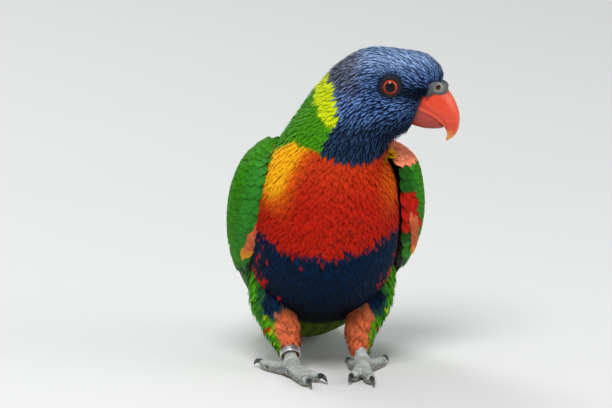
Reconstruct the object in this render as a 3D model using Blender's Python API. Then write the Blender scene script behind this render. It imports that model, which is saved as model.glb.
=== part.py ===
"""Rainbow lorikeet, life size: a still model that stands with its head turned to its left.

Metres. The bird faces -Y, its left side is +X and up is +Z. It stands on z = 0.
Every form is worked out about a point on the floor under the hips. The last step moves
the whole bird so that the origin is under the middle of its box.
"""

import math

import bmesh
import bpy
import numpy as np
from mathutils import Vector

MM = 0.001
GAP = 0.35 * MM  # left free between neighbouring pieces

# Driving dimensions
EYE_HEIGHT = 132.4 * MM
HEAD_YAW = math.radians(80)  # from the way the body faces towards the bird's left
HEAD_CENTRE = Vector((27.0 * MM, -13.5 * MM, EYE_HEIGHT))  # midway between the eyes
EYE_RADIUS = 4.5 * MM
EYE_SIDE = 11.4 * MM  # eyeball's middle from the head's middle plane
TARSUS_RADIUS = 2.7 * MM
RING_RADIUS = 4.5 * MM  # outside of the leg ring
RING_WALL = 0.65 * MM
RING_LENGTH = 4.6 * MM

BODY_BOX = np.array([(-40.0, -50.0, 2.0), (60.0, 82.0, 158.0)])

# How finely the body's surface is read, and how many triangles its form keeps
GRID_STEP = 2.0 * MM
BODY_TRIANGLES = 2500
SPINE_BLOBS = 84

FORWARD = Vector((math.sin(HEAD_YAW), -math.cos(HEAD_YAW), 0.0))
HEAD_RIGHT = Vector((-math.cos(HEAD_YAW), -math.sin(HEAD_YAW), 0.0))
UP = Vector((0.0, 0.0, 1.0))

SIDES = {"right": -1.0, "left": 1.0}


def head_point(ahead, right, above):
    """A place on the head, from the middle between the eyes. The arguments are in millimetres."""
    return HEAD_CENTRE + (FORWARD * ahead + HEAD_RIGHT * right + UP * above) * MM


# The spine from the tail root to the top of the neck. Each station holds, in millimetres and
# degrees: x, y, z of its middle; the yaw and the downward pitch of the way its front (ventral
# side) faces; half its width, half its depth from front to back, and its reach along the spine.
SPINE = [
    (0.0, 66.0, 10.6, 0.0, 84.0, 13.5, 7.4, 8.0),  # tail root
    (0.0, 46.0, 18.9, 0.0, 66.0, 19.0, 12.6, 9.0),  # vent
    (0.0, 27.0, 33.0, 0.0, 50.0, 27.0, 19.0, 11.0),  # lower belly
    (0.0, 10.0, 49.0, 0.0, 38.0, 31.5, 26.5, 13.0),  # belly
    (0.0, -2.0, 67.0, 0.0, 25.0, 32.5, 30.0, 14.0),  # middle of the trunk
    (0.5, -8.0, 86.0, 0.0, 12.0, 30.5, 28.0, 13.0),  # breast
    (2.8, -10.0, 101.0, 12.0, 4.0, 25.0, 23.4, 9.5),  # root of the neck
    (9.0, -10.7, 114.2, 40.0, 8.0, 19.8, 22.5, 11.0),  # middle of the neck
    (15.4, -11.7, 122.4, 62.0, 24.0, 17.0, 20.8, 12.0),  # top of the neck
]

# Rounded forms of the head: ahead, right, above, and three radii, in millimetres
CRANIUM = (-5.4, 0.0, -3.0, 20.8, 15.1, 18.4)
BROW = (8.0, 0.0, 1.4, 15.4, 11.2, 12.4)
CHEEKS = (2.4, 0.0, -9.8, 14.8, 13.4, 13.2)
HEAD_BLEND = 4.0 * MM
# The feathers stop at the bill along two lines of the profile: over the base and behind the gape
BILL_CORNER = (14.6, -6.6)
OVER_BILL = (24.9, -1.9)
UNDER_GAPE = (10.6, -17.5)
# Soft mounds over the bill's base, round each nostril
CERE = [(20.5, 3.1, -2.6, 4.6, 3.2, 3.2), (20.5, -3.1, -2.6, 4.6, 3.2, 3.2)]
# Shallow ring of bare skin round each eye: its middle is this far out, and its radii
SOCKET_SIDE = 16.6
SOCKET = (4.8, 3.2, 4.8)

# Feathered thighs: distance to the side, y, z and radius, from inside the body to the ankle.
# The left thigh is held in a little at the ankle.
THIGH = {
    "right": [
        (20.0, 16.0, 42.0, 13.0),
        (20.5, 10.0, 30.0, 12.0),
        (18.6, 5.5, 20.5, 9.3),
        (16.6, 3.0, 13.5, 6.8),
        (15.8, 1.2, 9.0, 5.0),
    ],
    "left": [
        (22.0, 16.0, 42.0, 13.0),
        (20.6, 10.0, 30.0, 11.6),
        (17.0, 5.5, 20.5, 9.0),
        (15.9, 3.0, 13.5, 6.7),
        (15.7, 1.2, 9.0, 5.0),
    ],
}

# Upper bill in the head's middle plane: culmen (ahead, above), cutting edge (ahead, above)
# and half its width, from the base inside the face to the tip
UPPER_BILL = [
    (19.5, 1.0, 8.0, -10.5, 6.0),
    (23.0, -1.2, 10.5, -11.5, 6.6),
    (25.6, -4.6, 13.6, -12.6, 6.7),
    (28.2, -9.2, 17.5, -14.4, 6.2),
    (29.9, -14.8, 21.2, -17.3, 5.2),
    (29.6, -20.2, 23.5, -20.0, 3.9),
    (28.0, -23.7, 24.5, -22.8, 2.6),
    (25.8, -25.6, 24.3, -24.9, 1.3),
    (24.3, -26.4, 23.9, -26.1, 0.35),
]
# Lower bill: its upper edge and its underside (ahead, above), and half its width
LOWER_BILL = [
    (6.5, -11.5, 6.5, -18.0, 4.8),
    (11.5, -12.9, 10.8, -19.6, 5.8),
    (15.8, -14.4, 15.0, -20.6, 5.6),
    (19.4, -16.8, 18.9, -20.8, 4.6),
    (22.0, -18.9, 21.8, -20.6, 3.0),
    (23.0, -19.9, 22.9, -20.3, 0.9),
]

# Folded wing on the bird's left, from wrist to tip. Each station holds the front edge, the
# middle of the outer surface, the back edge, and the thickness, all in millimetres
WING = [
    ((24.5, -9.0, 102.0), (27.0, -3.0, 105.0), (24.0, 4.0, 105.0), 3.0),
    ((30.5, -13.5, 95.0), (37.5, -2.0, 97.5), (25.0, 15.0, 103.0), 5.5),
    ((33.0, -12.5, 81.0), (42.3, 5.0, 84.0), (20.5, 27.0, 94.0), 6.0),
    ((34.5, -5.0, 64.0), (42.1, 15.0, 69.0), (13.0, 40.0, 80.0), 5.5),
    ((33.5, 10.0, 47.0), (38.0, 29.0, 52.0), (6.5, 51.0, 63.0), 4.2),
    ((29.0, 31.0, 31.5), (30.0, 46.0, 37.5), (3.6, 62.0, 47.5), 3.0),
    ((22.5, 54.0, 19.0), (21.5, 65.0, 24.0), (3.0, 75.0, 32.0), 2.0),
    ((15.0, 77.0, 12.0), (13.0, 84.0, 14.5), (3.0, 89.0, 18.5), 1.3),
    ((8.5, 100.0, 8.0), (7.5, 102.0, 8.6), (5.5, 103.0, 9.4), 0.8),
]
# How much further out each station lies: the left wing is held looser than the right
WING_HELD_OUT = {
    -1.0: (0.0, -0.6, -0.8, -0.9, -0.9, -0.3, 0.0, 0.0, 0.0),
    1.0: (0.0, 1.9, 1.3, 1.7, 2.4, 4.0, 2.2, 0.8, 0.0),
}

# Tail from the vent to the tip: y, height of its middle, half width, half thickness
TAIL = [
    (47.6, 18.0, 18.4, 12.6),
    (56.0, 13.4, 16.6, 10.4),
    (68.0, 9.2, 14.8, 7.4),
    (84.0, 5.5, 13.8, 4.4),
    (104.0, 2.3, 12.4, 2.0),
    (124.0, 0.95, 10.2, 1.3),
    (142.0, 0.5, 7.4, 0.9),
    (155.0, 0.35, 4.4, 0.65),
    (161.6, 0.25, 1.4, 0.5),
]

ANKLE = (15.8, 3.0, 12.5)
KNUCKLE = (15.6, -7.0, 4.4)
KNUCKLE_RADIUS = 4.5
# Each toe: the way it points, in degrees from straight ahead towards the bird's left, and length
TOES = {
    "right": {"inner_front": (36, 16), "outer_front": (10, 21), "outer_back": (-146, 19),
              "inner_back": (164, 12)},
    "left": {"inner_front": (-24, 16), "outer_front": (2, 21), "outer_back": (143, 18),
             "inner_back": (-164, 12)},
}
# Along a toe, as shares of its length: place, height of its middle and radius
TOE_SHAPE = [(0.0, 3.9, 3.0), (0.2, 3.2, 2.9), (0.42, 2.6, 2.75), (0.55, 2.6, 2.5),
             (0.72, 2.3, 2.5), (0.86, 2.3, 2.45), (1.0, 2.7, 1.7)]
# A claw, from the toe's end: distance, height and radius
CLAW_SHAPE = [(0.4, 2.8, 1.35), (2.0, 3.5, 1.25), (3.9, 3.3, 1.0), (5.4, 2.2, 0.7), (6.4, 0.75, 0.3)]

# Colours
BLUE = (0.05, 0.08, 0.30)
GREEN = (0.06, 0.30, 0.03)
LIME = (0.45, 0.62, 0.03)
RED = (0.70, 0.07, 0.01)
BILL = (0.75, 0.07, 0.03)
HORN = (0.03, 0.035, 0.04)
SCALY = (0.38, 0.38, 0.37)
METAL = (0.80, 0.80, 0.80)
IRIS = (0.65, 0.05, 0.02)


def clear_scene():
    for obj in list(bpy.data.objects):
        bpy.data.objects.remove(obj)


def material(name, colour, roughness, metallic=0.0):
    made = bpy.data.materials.get(name)
    if made is None:
        made = bpy.data.materials.new(name)
        made.use_nodes = True
        shader = made.node_tree.nodes["Principled BSDF"]
        shader.inputs["Base Color"].default_value = (*colour, 1.0)
        shader.inputs["Roughness"].default_value = roughness
        shader.inputs["Metallic"].default_value = metallic
    return made


def unit(rows):
    return rows / np.linalg.norm(rows, axis=-1, keepdims=True)


def curve_through(rows, count):
    """count rows along a Catmull-Rom curve through the given rows, at an even spacing in space."""
    rows = np.array(rows, float)
    padded = np.vstack([2 * rows[0] - rows[1], rows, 2 * rows[-1] - rows[-2]])

    def at(t):
        i = np.clip(t.astype(int), 0, len(rows) - 2)
        f = (t - i)[:, None]
        a, b, c, d = (padded[i + k] for k in range(4))
        return 0.5 * (2 * b + (c - a) * f + (2 * a - 5 * b + 4 * c - d) * f**2
                      + (3 * b - a - 3 * c + d) * f**3)

    fine = np.linspace(0, len(rows) - 1, 60 * len(rows))
    run = np.linalg.norm(np.diff(at(fine)[:, :3], axis=0), axis=1)
    length = np.concatenate([[0], np.cumsum(run)])
    return at(np.interp(np.linspace(0, length[-1], count), length, fine))


def spine_frames(count):
    """Middles, unit axes (side, front, along) and half sizes of ellipsoids along the spine."""
    rows = curve_through(SPINE, count)
    middle = rows[:, :3]
    along = unit(np.gradient(middle, axis=0))
    yaw, pitch = np.radians(rows[:, 3]), np.radians(rows[:, 4])
    front = np.stack([np.sin(yaw) * np.cos(pitch), -np.cos(yaw) * np.cos(pitch), -np.sin(pitch)], 1)
    front = unit(front - (front * along).sum(1, keepdims=True) * along)
    side = np.cross(along, front)
    return middle * MM, np.stack([side, front, along], 1), rows[:, 5:8] * MM


def ellipsoid_distance(points, middle, axes, radii):
    """Close to the distance from an ellipsoid's surface, negative inside."""
    local = (points - middle) @ axes.T
    near = np.linalg.norm(local / radii, axis=1)
    steep = np.linalg.norm(local / radii**2, axis=1)
    return near * (near - 1) / np.maximum(steep, 1e-9)


def smooth_union(a, b, blend):
    share = np.clip(0.5 + 0.5 * (b - a) / blend, 0, 1)
    return b + (a - b) * share - blend * share * (1 - share)


def body_distance(points):
    """Distance from the feathered surface of head, neck and trunk."""
    neck = np.full(len(points), 1.0)
    for middle, axes, radii in zip(*spine_frames(SPINE_BLOBS)):
        neck = np.minimum(neck, ellipsoid_distance(points, middle, axes, radii))
    axes = np.array([FORWARD, HEAD_RIGHT, UP])
    local = (points - np.array(HEAD_CENTRE)) @ axes.T / MM

    def mound(ahead, right, above, *radii):
        found = ellipsoid_distance(local, (ahead, right, above), np.eye(3), np.array(radii))
        return found * MM

    head = smooth_union(mound(*CRANIUM), mound(*BROW), HEAD_BLEND)
    head = smooth_union(head, mound(*CHEEKS), HEAD_BLEND)
    over = side_of_line(local, BILL_CORNER, OVER_BILL)
    behind = side_of_line(local, UNDER_GAPE, BILL_CORNER)
    head = -smooth_union(-head, np.maximum(over, behind) * MM, 1.2 * MM)
    for place in CERE:
        head = smooth_union(head, mound(*place), 1.2 * MM)
    return smooth_union(neck, head, 6.0 * MM)


def side_of_line(local, start, end):
    """Distance from a line of the profile, negative on its right as it runs from start to end."""
    ahead, above = end[0] - start[0], end[1] - start[1]
    length = math.hypot(ahead, above)
    return ((local[:, 2] - start[1]) * ahead - (local[:, 0] - start[0]) * above) / length


def distance_slope(points):
    step = 0.2 * MM
    moves = np.eye(3) * step
    return np.stack(
        [(body_distance(points + m) - body_distance(points - m)) / (2 * step) for m in moves], 1
    )


def surface_of(distance, low, high, step):
    """Points and quads of the surface where distance is zero: one point in each cell it crosses."""
    counts = np.ceil((np.array(high) - low) / step).astype(int) + 1
    places = np.stack(np.meshgrid(*(np.arange(n) for n in counts), indexing="ij"), -1)
    values = distance(places.reshape(-1, 3) * step + low).reshape(counts)
    total, hits, faces = np.zeros((*counts, 3)), np.zeros(counts), []
    index = np.arange(values.size).reshape(counts)
    for axis in range(3):
        u, v = (axis + 1) % 3, (axis + 2) % 3
        inner = [slice(1, -1)] * 3
        inner[axis] = slice(0, -1)
        ahead = list(inner)
        ahead[axis] = slice(1, None)
        a, b = values[tuple(inner)], values[tuple(ahead)]
        crossed = (a < 0) != (b < 0)
        where = np.stack(np.nonzero(crossed), 1) + [s.start for s in inner]
        a, b = a[crossed], b[crossed]
        point = where.astype(float)
        point[:, axis] += a / (a - b)
        cells = []
        for du, dv in ((1, 1), (0, 1), (0, 0), (1, 0)):
            cell = where.copy()
            cell[:, u] -= du
            cell[:, v] -= dv
            np.add.at(total, tuple(cell.T), point)
            np.add.at(hits, tuple(cell.T), 1)
            cells.append(index[tuple(cell.T)])
        quads = np.stack(cells, 1)
        quads[b < 0] = quads[b < 0][:, ::-1]
        faces.append(quads)
    faces = np.concatenate(faces)
    used, faces = np.unique(faces, return_inverse=True)
    points = total.reshape(-1, 3)[used] / hits.reshape(-1)[used][:, None] * step + low
    return points, faces.reshape(-1, 4)


def new_object(name, points, faces, look=None):
    mesh = bpy.data.meshes.new(name)
    mesh.from_pydata([tuple(p) for p in points], [], [tuple(int(i) for i in f) for f in faces])
    mesh.validate()
    obj = bpy.data.objects.new(name, mesh)
    bpy.context.scene.collection.objects.link(obj)
    if look:
        mesh.materials.append(look)
        mesh.shade_smooth()
    return obj


def evaluated_mesh(obj):
    """The object's mesh with its modifiers applied, as a mesh of its own."""
    graph = bpy.context.evaluated_depsgraph_get()
    return bpy.data.meshes.new_from_object(obj.evaluated_get(graph))


def loft(name, rings, look=None):
    """A closed skin over rings that have the same even number of points, with both ends capped."""
    count, around = len(rings), len(rings[0])
    points = [p for ring in rings for p in ring]
    faces = []
    for i in range(count - 1):
        for j in range(around):
            a, b = i * around + j, i * around + (j + 1) % around
            faces.append((a, b, b + around, a + around))
    for end in (0, (count - 1) * around):
        for j in range(around // 2 - 1):
            k = around - 1 - j
            faces.append((end + j, end + j + 1, end + k - 1, end + k))
    obj = new_object(name, points, faces, look)
    form = bmesh.new()
    form.from_mesh(obj.data)
    bmesh.ops.recalc_face_normals(form, faces=form.faces)
    form.to_mesh(obj.data)
    form.free()
    return obj


def tube(name, rows, around, look=None):
    """A round tapering tube through rows of x, y, z and radius."""
    rows = np.array(rows, float)
    along = unit(np.gradient(rows[:, :3], axis=0))
    side = unit(np.cross(along, (0.02, 0.01, 1.0)))
    top = np.cross(side, along)
    turn = np.linspace(0, 2 * np.pi, around, endpoint=False)
    rings = [
        row[:3] + row[3] * (np.cos(turn)[:, None] * s + np.sin(turn)[:, None] * t)
        for row, s, t in zip(rows, side, top)
    ]
    return loft(name, rings, look)


def helper(obj):
    """Marks an object as a cutter, which isn't part of the bird."""
    obj.hide_render = True
    obj.display_type = "WIRE"
    return obj


def grown(obj, amount=GAP):
    """A cutter: a copy of obj whose surface is moved outwards."""
    mesh = evaluated_mesh(obj)
    normals = [v.normal.copy() for v in mesh.vertices]
    for vertex, normal in zip(mesh.vertices, normals):
        vertex.co += normal * amount
    made = bpy.data.objects.new(obj.name + "_cutter", mesh)
    made.location = obj.location
    made.rotation_euler = obj.rotation_euler
    bpy.context.scene.collection.objects.link(made)
    return helper(made)


def cut(obj, cutter):
    change = obj.modifiers.new("cut " + cutter.name, "BOOLEAN")
    change.operation = "DIFFERENCE"
    change.solver = "EXACT"
    change.use_self = True
    change.object = cutter


def keep_side(obj, point, normal):
    """Cuts obj's mesh flat through point and keeps the side that normal points to."""
    form = bmesh.new()
    form.from_mesh(obj.data)
    whole = form.verts[:] + form.edges[:] + form.faces[:]
    found = bmesh.ops.bisect_plane(
        form, geom=whole, plane_co=point, plane_no=normal, clear_inner=True
    )
    rim = [e for e in found["geom_cut"] if isinstance(e, bmesh.types.BMEdge)]
    if rim:
        bmesh.ops.edgeloop_fill(form, edges=rim)
        bmesh.ops.recalc_face_normals(form, faces=form.faces)
    form.to_mesh(obj.data)
    form.free()


def on_the_floor(obj):
    """Gives obj a small flat at the level of the floor."""
    keep_side(obj, (0, 0, 0), (0, 0, 1))


# Flat cuts through the body: a point and the way towards the head
HOOD_CUT = (Vector((14.5, -12.0, 121.5)) * MM, Vector((0.80, -0.06, 0.60)).normalized())
NECK_CUT = (Vector((2.0, -10.0, 104.0)) * MM, Vector((0.14, -0.10, 0.98)).normalized())
TAIL_CUT = (Vector((0.0, 47.0, 19.0)) * MM, Vector((0.0, -0.84, 0.54)).normalized())


def build_body():
    """Head, neck and trunk: one form, parted by thin flat cuts."""
    low, high = BODY_BOX * MM
    points, faces = surface_of(body_distance, low, high, GRID_STEP)
    for _ in range(2):
        slope = distance_slope(points)
        points = points - slope * (body_distance(points) / (slope**2).sum(1))[:, None]
    whole = new_object("body_whole", points, faces)
    change = whole.modifiers.new("fewer", "DECIMATE")
    change.ratio = BODY_TRIANGLES / (2 * len(faces))
    form = evaluated_mesh(whole)
    bpy.data.objects.remove(whole)

    spans = {
        "head": (HOOD_CUT, None, material("hood_feathers", BLUE, 0.6)),
        "neck": (NECK_CUT, HOOD_CUT, material("neck_feathers", LIME, 0.6)),
        "trunk": (TAIL_CUT, NECK_CUT, material("breast_feathers", RED, 0.6)),
    }
    made = {}
    for name, (below, above, look) in spans.items():
        mesh = form.copy()
        obj = bpy.data.objects.new(name, mesh)
        bpy.context.scene.collection.objects.link(obj)
        point, normal = below
        keep_side(obj, point + normal * GAP / 2, normal)
        if above:
            point, normal = above
            keep_side(obj, point - normal * GAP / 2, -normal)
        mesh.materials.append(look)
        mesh.shade_smooth()
        mesh.set_sharp_from_angle(angle=math.radians(40))
        made[name] = obj
    return made


def bill_ring(row, lower):
    """A cross-section of the bill: widest at the cutting edge and rounded towards the other."""
    ridge_ahead, ridge_above, edge_ahead, edge_above, half_width = row
    if lower:
        ridge_ahead, ridge_above, edge_ahead, edge_above = (
            edge_ahead, edge_above, ridge_ahead, ridge_above)
    ring = []
    for turn in np.linspace(-math.pi / 2, math.pi / 2, 12):
        share = 1 - math.cos(turn)  # 0 at the ridge, 1 at the cutting edge
        ahead = ridge_ahead + (edge_ahead - ridge_ahead) * share
        above = ridge_above + (edge_above - ridge_above) * share
        wide = math.copysign(abs(math.sin(turn)) ** 0.85, turn)
        ring.append(head_point(ahead, half_width * wide, above))
    return ring


def build_bill():
    look = material("bill_horn", BILL, 0.35)
    upper = loft("bill_upper", [bill_ring(r, False) for r in curve_through(UPPER_BILL, 14)], look)
    lower = loft("bill_lower", [bill_ring(r, True) for r in curve_through(LOWER_BILL, 8)], look)
    cut(lower, grown(upper))
    return upper, lower


def build_eyes():
    eyes = {}
    for name, side in SIDES.items():
        mesh = bpy.data.meshes.new(f"eye_{name}")
        form = bmesh.new()
        bmesh.ops.create_uvsphere(form, u_segments=16, v_segments=10, radius=EYE_RADIUS)
        form.to_mesh(mesh)
        form.free()
        eye = bpy.data.objects.new(f"eye_{name}", mesh)
        eye.location = head_point(0.0, -side * EYE_SIDE / MM, 0.0)
        eye.rotation_euler = (math.pi / 2, 0, HEAD_YAW - math.pi / 2)
        bpy.context.scene.collection.objects.link(eye)
        mesh.materials.append(material("iris", IRIS, 0.1))
        mesh.shade_smooth()
        eyes[name] = eye
    return eyes


def build_socket(side):
    """Cutter for the shallow ring of bare skin round an eye."""
    mesh = bpy.data.meshes.new("socket")
    form = bmesh.new()
    bmesh.ops.create_icosphere(form, subdivisions=2, radius=MM)
    axes = np.array([FORWARD, -HEAD_RIGHT, UP])
    for vertex in form.verts:
        vertex.co = Vector(axes.T @ (np.array(vertex.co) * SOCKET))
    form.to_mesh(mesh)
    form.free()
    socket = bpy.data.objects.new("socket", mesh)
    socket.location = head_point(0.0, -side * SOCKET_SIDE, 0.0)
    bpy.context.scene.collection.objects.link(socket)
    return helper(socket)


def wing_rings(side):
    """Cross-sections of a folded wing: a bowed blade with a rounded front edge."""
    flat = np.array([(*middle, *lead, *trail, thick) for lead, middle, trail, thick in WING])
    flat[:, [0, 3, 6]] += np.array(WING_HELD_OUT[side])[:, None]
    rows = curve_through(flat, 17)
    share = 0.5 - 0.5 * np.cos(np.linspace(0, np.pi, 8))
    middle, lead, trail = rows[:, None, :3], rows[:, None, 3:6], rows[:, None, 6:9]
    bow = 2 * middle - (lead + trail) / 2
    s = share[None, :, None]
    outer = (1 - s) ** 2 * lead + 2 * s * (1 - s) * bow + s**2 * trail
    across = np.gradient(outer, axis=1)
    along = np.gradient(outer, axis=0)
    normal = unit(np.cross(along, across))
    normal *= np.sign((normal * (outer - [0, 20.0, 60.0])).sum(-1, keepdims=True))
    depth = rows[:, 9:10] * (0.25 + 0.75 * np.sin(np.pi * share[None] ** 0.7) ** 0.6)
    inner = outer - normal * depth[:, :, None]
    rings = np.concatenate([outer, inner[:, ::-1]], 1) * MM
    rings[:, :, 0] *= side
    return list(rings)


def build_wings():
    look = material("wing_feathers", GREEN, 0.5)
    return {name: loft(f"wing_{name}", wing_rings(side), look) for name, side in SIDES.items()}


def build_tail():
    """Tail coverts and long feathers as one blade that comes down to lie on the floor."""
    turn = np.linspace(0, 2 * np.pi, 16, endpoint=False)
    rings = []
    rows = curve_through([(0.0, *row) for row in TAIL], 16)
    along = unit(np.gradient(rows[:, :3], axis=0))
    first = np.array(TAIL_CUT[1]) * -1
    for i, (_, y, z, half_width, half_thickness) in enumerate(rows):
        # The first ring lies in the plane of the cut, and the next ones turn to face the tail's way
        face = unit(first * max(0.0, 1 - i / 3) + along[i] * min(1.0, i / 3))
        top = np.cross((1.0, 0.0, 0.0), face)
        rings.append([
            (np.array((half_width * math.cos(a), y, z)) + half_thickness * math.sin(a) * top) * MM
            for a in turn
        ])
    tail = loft("tail", rings, material("tail_feathers", GREEN, 0.5))
    point, normal = TAIL_CUT
    keep_side(tail, point - normal * GAP / 2, -normal)
    on_the_floor(tail)
    return tail


def build_foot(name, side):
    """Tarsus, toes and claws, on small flats at the floor. Returns a cutter round the tarsus."""
    skin = material("scaly_skin", SCALY, 0.6)
    horn = material("claw_horn", HORN, 0.3)
    ankle, knuckle = Vector(ANKLE), Vector(KNUCKLE)
    ankle.x *= side
    knuckle.x *= side
    shank = []
    for share, radius in ((0.0, 1.0), (0.3, 0.96), (0.6, 1.02), (0.8, 1.3), (1.0, 1.62),
                          (1.18, 1.45), (1.34, 0.8)):
        place = ankle.lerp(knuckle, share)
        place.z = max(place.z, knuckle.z)
        shank.append((*(place * MM), TARSUS_RADIUS * radius))
    tarsus = tube(f"tarsus_{name}", shank, 12, skin)
    on_the_floor(tarsus)
    shank_cutter = grown(tarsus)

    headings = {toe: math.radians(way) for toe, (way, _) in TOES[name].items()}
    for toe, (_, length) in TOES[name].items():
        heading = headings[toe]
        way = Vector((math.sin(heading), -math.cos(heading), 0.0))
        rows = []
        for share, height, radius in curve_through([(0.0, *r) for r in TOE_SHAPE], 9)[:, 1:]:
            place = Vector((knuckle.x, knuckle.y, height)) + way * length * share
            rows.append((*(place * MM), radius * MM))
        piece = tube(f"toe_{name}_{toe}", rows, 10, skin)
        middle = Vector((knuckle.x, knuckle.y, 0.0)) * MM
        for other, angle in headings.items():
            turn = (angle - heading + math.pi) % (2 * math.pi) - math.pi
            if other != toe and abs(turn) < math.radians(100):
                halfway = heading + turn / 2
                wall = Vector((math.cos(halfway), math.sin(halfway), 0.0))
                wall *= -math.copysign(1.0, turn)
                keep_side(piece, middle + wall * GAP / 2, wall)
        on_the_floor(piece)
        cut(piece, shank_cutter)

        rows = []
        for ahead, height, radius in CLAW_SHAPE:
            place = Vector((knuckle.x, knuckle.y, height)) + way * (length + ahead)
            rows.append((*(place * MM), radius * MM))
        tube(f"claw_{name}_{toe}", rows, 6, horn)
    return shank_cutter


def build_thighs():
    look = material("thigh_feathers", GREEN, 0.6)
    thighs = {}
    for name, side in SIDES.items():
        rows = curve_through(THIGH[name], 8) * MM
        rows[:, 0] *= side
        thighs[name] = tube(f"thigh_{name}", rows, 16, look)
    return thighs


def build_ring(ankle, knuckle):
    """The closed metal ring on the right leg, low on the tarsus."""
    way = (knuckle - ankle).normalized()
    middle = ankle.lerp(knuckle, 0.36)
    side = way.cross(UP).normalized()
    top = side.cross(way)
    middle += top * 0.3 * MM
    inside, half = RING_RADIUS - RING_WALL, RING_LENGTH / 2
    outline = [(inside, -half), (inside, half), (RING_RADIUS, half), (RING_RADIUS, -half)]
    rings = []
    count = 24
    for i in range(count):
        a = 2 * math.pi * i / count
        out = side * math.cos(a) + top * math.sin(a)
        rings.append([middle + out * r + way * w for r, w in outline])
    points = [p for ring in rings for p in ring]
    faces = []
    for i in range(count):
        for j in range(4):
            a, b = i * 4, ((i + 1) % count) * 4
            faces.append((a + j, a + (j + 1) % 4, b + (j + 1) % 4, b + j))
    ring = new_object("leg_ring", points, faces, material("ring_metal", METAL, 0.25, 1.0))
    form = bmesh.new()
    form.from_mesh(ring.data)
    bmesh.ops.recalc_face_normals(form, faces=form.faces)
    form.to_mesh(ring.data)
    form.free()
    return ring


def move_to_origin():
    """Puts the origin under the middle of the bird's box."""
    graph = bpy.context.evaluated_depsgraph_get()
    low, high = np.full(3, 1e9), np.full(3, -1e9)
    for obj in bpy.context.scene.objects:
        if obj.hide_render:
            continue
        seen = obj.evaluated_get(graph)
        corners = np.array([seen.matrix_world @ v.co for v in seen.data.vertices])
        low, high = np.minimum(low, corners.min(0)), np.maximum(high, corners.max(0))
    shift = Vector((-(low[0] + high[0]) / 2, -(low[1] + high[1]) / 2, 0.0))
    for obj in bpy.context.scene.objects:
        obj.location += shift


def main():
    clear_scene()
    body = build_body()
    upper, lower = build_bill()
    eyes = build_eyes()
    wings = build_wings()
    build_tail()
    thighs = build_thighs()

    for side in SIDES.values():
        cut(body["head"], build_socket(side))
    for piece in (upper, lower, *eyes.values()):
        cut(body["head"], grown(piece))
    for name, side in SIDES.items():
        shank_cutter = build_foot(name, side)
        wing_cutter = grown(wings[name])
        thigh_cutter = grown(thighs[name], 1.4 * GAP)
        cut(body["trunk"], wing_cutter)
        cut(body["neck"], wing_cutter)
        cut(body["trunk"], thigh_cutter)
        cut(thighs[name], shank_cutter)
        cut(thighs[name], wing_cutter)
    ankle, knuckle = Vector(ANKLE) * MM, Vector(KNUCKLE) * MM
    ankle.x *= -1
    knuckle.x *= -1
    ring = build_ring(ankle, knuckle)
    cut(thighs["right"], grown(ring))
    move_to_origin()


main()
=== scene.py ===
"""Looks of the rainbow lorikeet: one skin, feathers as solid mesh, eyes, bill, claws and leg ring.

The body's form is worked out with the same numbers as its solids, on a fine grid. The skin is that
form moved inwards by the depth of the feathers. Feathers grow from it along the lie of the plumage.
Lengths are in millimetres until a mesh is made.
"""

import math

import bmesh
import bpy
import numpy as np
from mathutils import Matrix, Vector
from mathutils.kdtree import KDTree


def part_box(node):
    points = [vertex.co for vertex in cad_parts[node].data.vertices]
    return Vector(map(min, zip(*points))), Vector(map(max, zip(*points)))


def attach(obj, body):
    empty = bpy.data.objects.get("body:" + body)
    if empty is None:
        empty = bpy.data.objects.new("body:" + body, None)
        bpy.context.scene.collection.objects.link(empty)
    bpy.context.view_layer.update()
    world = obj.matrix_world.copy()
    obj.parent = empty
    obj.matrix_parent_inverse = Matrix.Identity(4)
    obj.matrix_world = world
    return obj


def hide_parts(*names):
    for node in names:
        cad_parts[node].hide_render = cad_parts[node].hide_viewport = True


MM = 0.001
RANDOM = np.random.default_rng(20)

# The bird's form, as in its solids
EYE_HEIGHT = 132.4
HEAD_YAW = math.radians(80)
HEAD_CENTRE = np.array([27.0, -13.5, EYE_HEIGHT])
EYE_RADIUS = 4.5
EYE_SIDE = 11.4
FORWARD = np.array([math.sin(HEAD_YAW), -math.cos(HEAD_YAW), 0.0])
HEAD_RIGHT = np.array([-math.cos(HEAD_YAW), -math.sin(HEAD_YAW), 0.0])
UP = np.array([0.0, 0.0, 1.0])
HEAD_AXES = np.array([FORWARD, HEAD_RIGHT, UP])
SIDES = {"right": -1.0, "left": 1.0}

# Spine: x, y, z, yaw and downward pitch of the front, half width, half depth, reach along the spine
SPINE = [
    (0.0, 66.0, 10.6, 0.0, 84.0, 13.5, 7.4, 8.0),  # tail root
    (0.0, 46.0, 18.9, 0.0, 66.0, 19.0, 12.6, 9.0),  # vent
    (0.0, 27.0, 33.0, 0.0, 50.0, 27.0, 19.0, 11.0),  # lower belly
    (0.0, 10.0, 49.0, 0.0, 38.0, 31.5, 26.5, 13.0),  # belly
    (0.0, -2.0, 67.0, 0.0, 25.0, 32.5, 30.0, 14.0),  # middle of the trunk
    (0.5, -8.0, 86.0, 0.0, 12.0, 30.5, 28.0, 13.0),  # breast
    (2.8, -10.0, 101.0, 12.0, 4.0, 25.0, 23.4, 9.5),  # root of the neck
    (9.0, -10.7, 114.2, 40.0, 8.0, 19.8, 22.5, 11.0),  # middle of the neck
    (15.4, -11.7, 122.4, 62.0, 24.0, 17.0, 20.8, 12.0),  # top of the neck
]
SPINE_BLOBS = 84

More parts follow.
